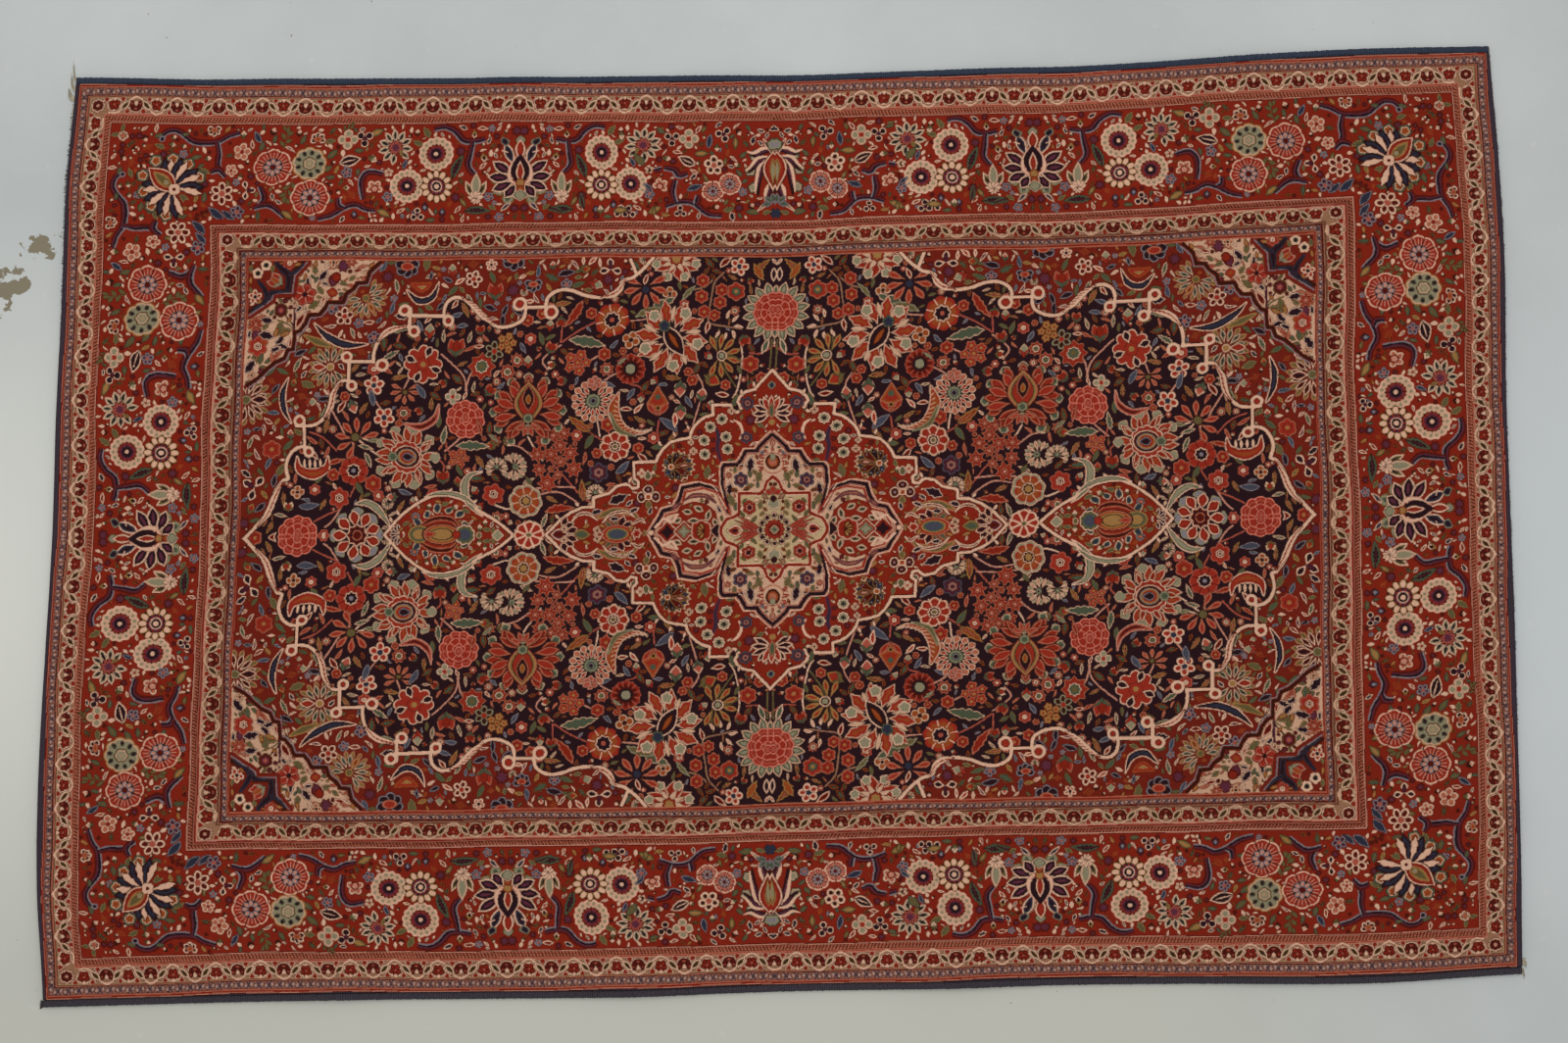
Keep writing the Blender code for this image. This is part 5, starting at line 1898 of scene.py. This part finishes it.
def grid_mesh(name, columns, rows):
    """A grid of cells as a mesh, with each vertex's and each corner's place in it."""
    bm = bmesh.new()
    bmesh.ops.create_grid(bm, x_segments=columns, y_segments=rows, size=1.0)
    mesh = bpy.data.meshes.new(name)
    bm.to_mesh(mesh)
    bm.free()
    points = np.empty(len(mesh.vertices) * 3, np.float32)
    mesh.vertices.foreach_get("co", points)
    points = points.reshape(-1, 3)
    i = np.rint((points[:, 0] + 1) / 2 * columns).astype(int)
    j = np.rint((points[:, 1] + 1) / 2 * rows).astype(int)
    corners = np.empty(len(mesh.loops), np.int32)
    mesh.loops.foreach_get("vertex_index", corners)
    return mesh, i, j, corners


def fold_map(mesh, ci, cj, columns, rows):
    """Lays the grid's cells out for painting: a long grid is folded into strips that fill the square."""
    cell_i, cell_j = (np.repeat(c.reshape(-1, 4).min(1), 4) for c in (ci, cj))
    along, across, a, b, n_a, n_b = cell_i, cell_j, ci - cell_i, cj - cell_j, columns, rows
    if rows > columns:
        along, across, a, b, n_a, n_b = cell_j, cell_i, cj - cell_j, ci - cell_i, rows, columns
    strips = max(round((n_a / n_b) ** 0.5), 1)
    run = ceil(n_a / strips)
    strip, along = along // run, along % run
    places = np.stack(
        ((along + a + 1) / (run + 2), (strip * (n_b + 2) + across + b + 1) / (strips * (n_b + 2))), -1,
    )
    if rows > columns:
        places = places[:, ::-1]  # a turned map keeps the faces' winding
    layer = mesh.uv_layers.new(name="OFBake")
    layer.data.foreach_set("uv", places.astype(np.float32).ravel())


def add_knots(mesh, ci, cj, loom_of_cells, colour_at):
    """Stores the colour of each cell's four knots, and where on the loom each face corner lies."""
    low_i, low_j = (c.reshape(-1, 4).min(1) for c in (ci, cj))
    loom = mesh.uv_layers.new(name="loom")
    loom.data.foreach_set("uv", np.stack((ci, cj), -1).astype(np.float32).ravel())
    for number, name in enumerate(KNOTS_OF_CELL):
        along, across = loom_of_cells(low_i + 0.25 + 0.5 * (number % 2), low_j + 0.25 + 0.5 * (number // 2))
        full = np.ones((len(along), 4), np.float32)
        full[:, :3] = colour_at(along, across)
        attribute = mesh.attributes.new(name=name, type="FLOAT_COLOR", domain="FACE")
        attribute.data.foreach_set("color", full.ravel())


def piece_of(mesh, material, slot_name, *nodes):
    """Puts a finished mesh in the scene as a piece that stands for CAD nodes."""
    mesh.materials.append(material)
    piece = bpy.data.objects.new(mesh.name, mesh)
    bpy.context.scene.collection.objects.link(piece)
    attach(piece, "root")
    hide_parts(*nodes)
    return piece


def pile_panel(name, columns, rows, surface, material):
    """One part of the pile, from and to these columns and rows of vertices."""
    (left, right), (near, far) = columns, rows
    mesh, i, j, corners = grid_mesh(name, right - left, far - near)
    mesh.vertices.foreach_set("co", surface[j + near, i + left].astype(np.float32).ravel())

    def loom_of_cells(column, row):
        along = np.clip((column + left - RIM) / COLUMNS, 0.0003, 0.9997) * LENGTH - LENGTH / 2
        return along, (np.clip((row + near - RIM) / ROWS, 0.0003, 0.9997) * 2 - 1) * HALF_WEAVE

    add_knots(mesh, i[corners], j[corners], loom_of_cells, wool_at)
    fold_map(mesh, i[corners], j[corners], right - left, far - near)
    mesh.shade_smooth()
    return piece_of(mesh, material, "wool_pile", "carpet")


BORDER_COLUMNS, BORDER_ROWS = 82, 79  # of cells in the pile's border panels
FIELD_PANELS = 4


def pile(material):
    """The whole pile: four border panels, and the field's panels between them."""
    surface = pile_surface()
    side, near, far = BORDER_COLUMNS, BORDER_ROWS, ROWS - BORDER_ROWS
    last_i, last_j = COLUMNS + 2 * RIM, ROWS + 2 * RIM
    panels = [
        pile_panel("pile_far_border", (0, last_i), (far, last_j), surface, material),
        pile_panel("pile_near_border", (0, last_i), (0, near), surface, material),
        pile_panel("pile_left_border", (0, side), (near, far), surface, material),
        pile_panel("pile_right_border", (last_i - side, last_i), (near, far), surface, material),
    ]
    steps = np.linspace(near, far, FIELD_PANELS + 1).astype(int)
    for number, (low, high) in enumerate(zip(steps, steps[1:]), 1):
        panels.append(
            pile_panel(f"pile_field_{number}", (side, last_i - side), (low, high), surface, material)
        )
    return panels


BACK_COLUMNS, BACK_ROWS = 290, 182
BACK_HEIGHT, BACK_UNEVEN, BACK_RIM_HEIGHT = 0.00045, 0.00012, 0.0027


def knotted_back(material):
    """The cloth's underside, where each knot shows as a small bead of the same wool between wefts."""
    columns, rows = BACK_COLUMNS, BACK_ROWS
    mesh, i, j, corners = grid_mesh("knotted_back", columns, rows)
    # the outermost cells turn up round the edge
    place_i, place_j = np.clip((i - 1) / (columns - 2), 0, 1), np.clip((j - 1) / (rows - 2), 0, 1)
    rim = (i == 0) | (i == columns) | (j == 0) | (j == rows)
    height = np.where(rim, BACK_RIM_HEIGHT, BACK_HEIGHT + knot_noise(len(i), 17) * BACK_UNEVEN)
    loom = np.stack((place_i * LENGTH - LENGTH / 2, (place_j * 2 - 1) * HALF_WEAVE, height), -1)
    mesh.vertices.foreach_set("co", on_floor(loom).astype(np.float32).ravel())

    def loom_of_cells(column, row):
        along = np.clip((column - 1) / (columns - 2), 0.001, 0.999) * LENGTH - LENGTH / 2
        return along, (np.clip((row - 1) / (rows - 2), 0.001, 0.999) * 2 - 1) * HALF_WEAVE

    def muted(along, across):
        return wool_at(along, across) * 0.82 + linear("8c7a64") * 0.16

    add_knots(mesh, i[corners], j[corners], loom_of_cells, muted)
    fold_map(mesh, i[corners], j[corners], columns, rows)
    mesh.shade_smooth()
    mesh.flip_normals()
    return piece_of(mesh, material, "wool_pile", "carpet")


# ---------------------------------------------------------------- cords and warp ends
CORD_TURNS, CORD_SIDES = 520, 10


def side_cord(name, side, node, material):
    """An overcast cord: a flattened bar whose wool turns stand out as low ridges."""
    turns, around = CORD_TURNS, CORD_SIDES
    mesh, i, j, corners = grid_mesh(name, turns, around)
    chance = np.random.default_rng(19 if side > 0 else 29)
    swell = np.where(np.arange(turns + 1) % 2, 0.93, 1.0) * (1 + chance.uniform(-0.05, 0.04, turns + 1))
    sag = chance.uniform(-0.0002, 0.0002, turns + 1)
    angle = j / around * 2 * pi
    ends = np.where((i == 0) | (i == turns), 0.25, 1.0)
    along = np.clip((i - 1) / (turns - 2), 0, 1) * LENGTH - LENGTH / 2
    across = side * (WIDTH - CORD_WIDTH) / 2 + np.cos(angle) * CORD_WIDTH / 2 * swell[i] * ends + sag[i]
    height = CORD_HEIGHT / 2 + np.sin(angle) * CORD_HEIGHT / 2 * swell[i] * ends
    mesh.vertices.foreach_set(
        "co", on_floor(np.stack((along, across, height), -1)).astype(np.float32).ravel(),
    )
    fold_map(mesh, i[corners], j[corners], turns, around)
    bm = bmesh.new()
    bm.from_mesh(mesh)
    bmesh.ops.remove_doubles(bm, verts=bm.verts, dist=1e-6)
    holes = [e for e in bm.edges if e.is_boundary]
    bmesh.ops.holes_fill(bm, edges=holes, sides=around)
    bmesh.ops.recalc_face_normals(bm, faces=bm.faces)
    if bm.calc_volume(signed=True) < 0:
        bmesh.ops.reverse_faces(bm, faces=bm.faces)
    bm.to_mesh(mesh)
    bm.free()
    mesh.shade_smooth()
    return piece_of(mesh, material, "overcast_wool", node)


LOCKS_PER_END, LOCK_SHARE = 100, 0.68
HEADING_WIDTH, HEADING_HEIGHT, HEADING_CUTS = 0.0015, 0.0016, 199
LOCK_STRANDS, LOCK_THICKNESS = 8, 0.0015
TUFT_STRANDS, TUFT_THICKNESS = 22, 0.0018
STRANDS_AT_ONCE = 16
STRAND_TAPER = 0.6  # how much of its thickness a strand loses at its tip
LEFT_WARPS_MM = (6.0, 5.5, 4.0, 2.0, 1.5, 1.5, 1.6, 2.2, 2.4, 2.0)
RIGHT_WARPS_MM = (3.0, 3.5, 3.2, 3.0, 3.4, 3.6, 3.2, 2.6, 2.4, 2.4)

Tuft = namedtuple("Tuft", "end side out_mm across_mm")
TUFTS = (
    Tuft(-1, 1, 7.0, 26.0),
    Tuft(-1, 1, 10.0, 22.0),
    Tuft(-1, 1, 13.0, 15.0),
    Tuft(-1, -1, 7.0, 3.0),
    Tuft(1, -1, 5.0, 8.0),
    Tuft(1, -1, 9.0, 3.0),
)


def strand(bm, points, thickness):
    """A thread through points of the loom's frame: a thin three-sided tube, finer at its tip."""
    across_rug = Matrix(((0, 0, 1), (1, 0, 0), (0, 1, 0))).to_4x4()
    ring = bmesh.ops.create_circle(bm, cap_ends=True, segments=3, radius=0.5, matrix=across_rug)["verts"]
    end = ring[0].link_faces[0]
    shape = [vert.co.copy() for vert in end.verts]
    for k, point in enumerate(points):
        if k:
            made = bmesh.ops.extrude_face_region(bm, geom=[end, *end.edges, *end.verts])["geom"]
            end = next(part for part in made if isinstance(part, bmesh.types.BMFace))
        size = thickness * (1 - STRAND_TAPER * k / (len(points) - 1))
        for vert, offset in zip(end.verts, shape):
            vert.co = Vector(point) + offset * size


def tufts_by_lock(end):
    """The long tufts at one end of the rug, by the number of the lock that each stands for."""
    places = {}
    for side in (1, -1):
        tufts = [tuft for tuft in TUFTS if (tuft.end, tuft.side) == (end, side)]
        for place, tuft in enumerate(tufts):
            places[LOCKS_PER_END - 1 - place if side > 0 else place] = tuft
    return places


def warp_ends(name, end, lengths_mm, node, material):
    """The heading of weft at one end of the rug, and the worn cotton warps that stand out of it."""
    chance = random.Random(node)
    fray = random.Random(node + " threads")
    bm = bmesh.new()
    # the heading, a flat band of weft
    bmesh.ops.create_cube(bm, size=1)
    across_edges = [e for e in bm.edges if abs(e.verts[0].co.y - e.verts[1].co.y) > 0.5]
    bmesh.ops.subdivide_edges(bm, edges=across_edges, cuts=HEADING_CUTS, use_grid_fill=True)
    inner = LENGTH / 2 + GAP
    for vert in bm.verts:
        wobble = 0.75 + 0.25 * sin(vert.co.y * 311) * sin(vert.co.y * 77)
        vert.co = (
            end * (inner + HEADING_WIDTH * (0.5 + end * vert.co.x) * wobble),
            vert.co.y * WIDTH,
            HEADING_HEIGHT * (vert.co.z + 0.5) * wobble,
        )
    pitch = WIDTH / (LOCKS_PER_END - 1 + LOCK_SHARE)
    tufts = tufts_by_lock(end)
    strands = []
    root = inner + HEADING_WIDTH * 0.6
    for lock in range(LOCKS_PER_END):
        middle = -WIDTH / 2 + pitch * (lock + LOCK_SHARE / 2)
        if lock in tufts:
            out, over = tufts[lock].out_mm * MM, tufts[lock].side * tufts[lock].across_mm * MM
            for _ in range(TUFT_STRANDS):
                spread, reach = fray.uniform(-0.004, 0.004), fray.uniform(0.6, 1.0)
                start = middle + fray.uniform(-0.004, 0.004)
                points = [
                    (end * root, start, 0.0010),
                    (end * (root + out * 0.6 * reach), start + over * 0.15 * reach + spread * 0.3, 0.0009),
                    (end * (root + out * 0.9 * reach), start + over * 0.5 * reach + spread * 0.7, 0.0008),
                    (end * (root + out * reach), start + over * reach + spread, 0.0006),
                ]
                strands.append((points, TUFT_THICKNESS))
            continue
        share = 0.5 - middle / WIDTH
        length = float(from_table(lengths_mm, np.array(share))) * MM * chance.uniform(0.7, 1.2)
        lean = chance.uniform(-0.0012, 0.0012)
        for k in range(LOCK_STRANDS):
            start = middle + pitch * (k / LOCK_STRANDS - 0.44) + fray.uniform(-0.0004, 0.0004)
            reach = length * fray.uniform(0.65, 1.05)
            drift = lean + fray.uniform(-0.0012, 0.0012)
            points = [
                (end * root, start, 0.0009),
                (end * (root + reach * 0.5), start + drift * 0.3, 0.0010),
                (end * (root + reach), start + drift, 0.0006),
            ]
            strands.append((points, LOCK_THICKNESS))
    # in small batches, because an operator slows down with the mesh it works in
    scratch = bpy.data.meshes.new("strands")
    for first in range(0, len(strands), STRANDS_AT_ONCE):
        batch = bmesh.new()
        for points, thickness in strands[first:first + STRANDS_AT_ONCE]:
            strand(batch, points, thickness)
        batch.to_mesh(scratch)
        batch.free()
        bm.from_mesh(scratch)
    bpy.data.meshes.remove(scratch)
    mesh = bpy.data.meshes.new(name)
    bmesh.ops.recalc_face_normals(bm, faces=bm.faces)
    bm.to_mesh(mesh)
    bm.free()
    points = np.empty(len(mesh.vertices) * 3, np.float32)
    mesh.vertices.foreach_get("co", points)
    mesh.vertices.foreach_set("co", on_floor(points.reshape(-1, 3)).astype(np.float32).ravel())
    mesh.shade_smooth()
    return piece_of(mesh, material, "cotton_warp", node)


# ---------------------------------------------------------------- the making
CELLS = quarter()
wool = knotted_wool("hand_spun_wool", 1.7, 0.0007, 0.005)
back_wool = knotted_wool("knotted_back_wool", 2.4, 0.0005, 0.01)
# each yarn's darker tone is painted shade between its turns, mixed with its fuzz, and its lighter tone lies
# on the turns
cord_wool = spun_yarn("overcast_wool", "181c28", "3e4757", 3.4, "X", (0.6, 0.65, 0.75))
worn_cord_wool = spun_yarn("worn_overcast_wool", "1c171c", "48434a", 3.4, "X", (0.7, 0.68, 0.7))
cotton = ("a4957a", "e4d8bd", 1.2, "X", (0.9, 0.85, 0.75), "453b40")
left_cotton = spun_yarn("cotton_warp", *cotton)
right_cotton = spun_yarn("cotton_warp_pale_at_corners", *cotton, both_corners=True)

pieces = pile(wool)
back = knotted_back(back_wool)
pieces += [
    side_cord("overcast_cord_far", 1, "selvedge_far", cord_wool),
    side_cord("overcast_cord_near", -1, "selvedge_near", worn_cord_wool),
    warp_ends("warp_ends_left", -1, LEFT_WARPS_MM, "fringe_left", left_cotton),
    warp_ends("warp_ends_right", 1, RIGHT_WARPS_MM, "fringe_right", right_cotton),
]


# ---------------------------------------------------------------- floor, light and camera
PALE_PLACES = (  # where the floor is lighter, from worn paint on the left and painted light on the right: along, across, reach, share and tone
    (-1.25, -0.1, 0.55, 0.75, "dcdcd4"),
    # painted light: a pool of brighter light on the floor's right
    (1.3, -0.15, 0.6, 0.6, "cfd4d6"),
)
FLAKED_PLACES = ((-1.085, 0.425, 0.021), (-1.139, 0.362, 0.027))  # along, across and radius


def concrete():
    """Painted grey concrete: clouded, paler and worn on the left, brighter on the right with painted light,
    yellower and flecked towards the viewer, and flaked away in two places."""
    material, tree, shader = new_material("painted_concrete", 0.75, 0.0, (1, 1, 1))
    place = add(tree, "TexCoord", {}).outputs["Object"]
    axes = add(tree, "SeparateXYZ", {"Vector": place}).outputs
    clouds, flecks, grit, ragged = (
        add(
            tree, "TexNoise", {"Vector": place, "Scale": scale, "Detail": detail, "Roughness": 0.6},
        ).outputs["Fac"]
        for scale, detail in ((2.2, 6.0), (34.0, 5.0), (75.0, 3.0), (40.0, 4.0))
    )
    forward, leftward = (
        add(
            tree, "MapRange", {"Value": axes[axis], "From Min": low, "From Max": high, "To Max": most},
        ).outputs[0]
        for axis, low, high, most in (("Y", 0.5, -0.9, 0.9), ("X", 1.05, 0.5, 1.0))
    )
    near = add(tree, "Math", {0: forward, 1: leftward}, operation="MULTIPLY").outputs["Value"]
    # what each tone's share follows, where the share is none and where it is whole, its most, and the tone
    tones = [(clouds, 0.3, 0.7, 1.0, "c6cac9"), (near, 0.0, 1.0, 1.0, "c3c2b5")]
    # the pale places: worn paint on the left, painted light on the right
    for x, y, reach, share, tone in PALE_PLACES:
        away = add(tree, "VectorMath", {0: place, 1: (x, y, 0)}, operation="DISTANCE").outputs["Value"]
        tones.append((away, reach, reach * 0.25, share, tone))
    tones += [(flecks, 0.66, 0.74, 0.35, "d8d6cc"), (grit, 0.735, 0.76, 0.8, "7d7160")]
    for x, y, radius in FLAKED_PLACES:
        centre = (x + SHIFT[0], y + SHIFT[1], 0)
        away = add(tree, "VectorMath", {0: place, 1: centre}, operation="DISTANCE").outputs["Value"]
        edge = add(tree, "Math", {0: ragged, 1: 0.15, 2: away}, operation="MULTIPLY_ADD").outputs["Value"]
        tones.append((edge, radius + 0.073, radius + 0.071, 1.0, "857c69"))
    colour = (*linear("b9bebd"), 1)
    for value, none, whole, most, tone in tones:
        limits = {"From Min": none, "From Max": whole, "To Max": most}
        share = add(tree, "MapRange", {"Value": value, **limits}).outputs["Result"]
        over = (*linear(tone), 1)
        colour = add(tree, "Mix", {0: share, 6: colour, 7: over}, data_type="RGBA").outputs[2]
    fill_in(tree, shader, {"Base Color": colour})
    return material


FLOOR_HALF, FLOOR_DROP = 6.0, 0.0005


def floor():
    bm = bmesh.new()
    bmesh.ops.create_grid(bm, x_segments=1, y_segments=1, size=FLOOR_HALF)
    mesh = bpy.data.meshes.new("floor")
    bm.to_mesh(mesh)
    bm.free()
    mesh.materials.append(concrete())
    made = bpy.data.objects.new("floor", mesh)
    bpy.context.scene.collection.objects.link(made)
    made.location.z = -FLOOR_DROP


def area_light(name, place, target, size, power, colour):
    data = bpy.data.lights.new(name, "AREA")
    data.shape, data.size, data.size_y = "RECTANGLE", *size
    data.energy, data.color = power, colour
    light = bpy.data.objects.new(name, data)
    light.location = place
    light.rotation_euler = (Vector(target) - Vector(place)).to_track_quat("-Z", "Y").to_euler()
    bpy.context.scene.collection.objects.link(light)


def lights():
    world = bpy.data.worlds.new("room")
    world.use_nodes = True
    background = world.node_tree.nodes["Background"]
    background.inputs["Color"].default_value = (0.99, 1.0, 1.01, 1)
    background.inputs["Strength"].default_value = 0.62
    bpy.context.scene.world = world
    area_light("window", (-0.1, 0.7, 2.8), (0.0, 0.1, 0), (2.6, 2.2), 33, (1.0, 0.98, 0.95))


FOCAL_PX, PHOTO_WIDTH_PX, SENSOR_MM = 1778, 1600, 36.0


def camera():
    """Straight above the rug and a little towards the viewer, as the photograph is taken."""
    data = bpy.data.cameras.new("camera")
    data.sensor_width, data.lens = SENSOR_MM, FOCAL_PX / PHOTO_WIDTH_PX * SENSOR_MM
    made = bpy.data.objects.new("camera", data)
    pitch, roll, yaw = (
        Matrix.Rotation(radians(turn), 3, axis) for turn, axis in ((-4.97, "X"), (-0.08, "Y"), (1.28, "Z"))
    )
    made.rotation_euler = (pitch @ roll @ yaw).transposed().to_euler()
    made.location = Vector((0.0001, -0.2283, 2.5287)) + Vector(SHIFT)
    bpy.context.scene.collection.objects.link(made)
    bpy.context.scene.camera = made


floor()
lights()
camera()
bpy.context.scene.view_settings.view_transform = "Standard"
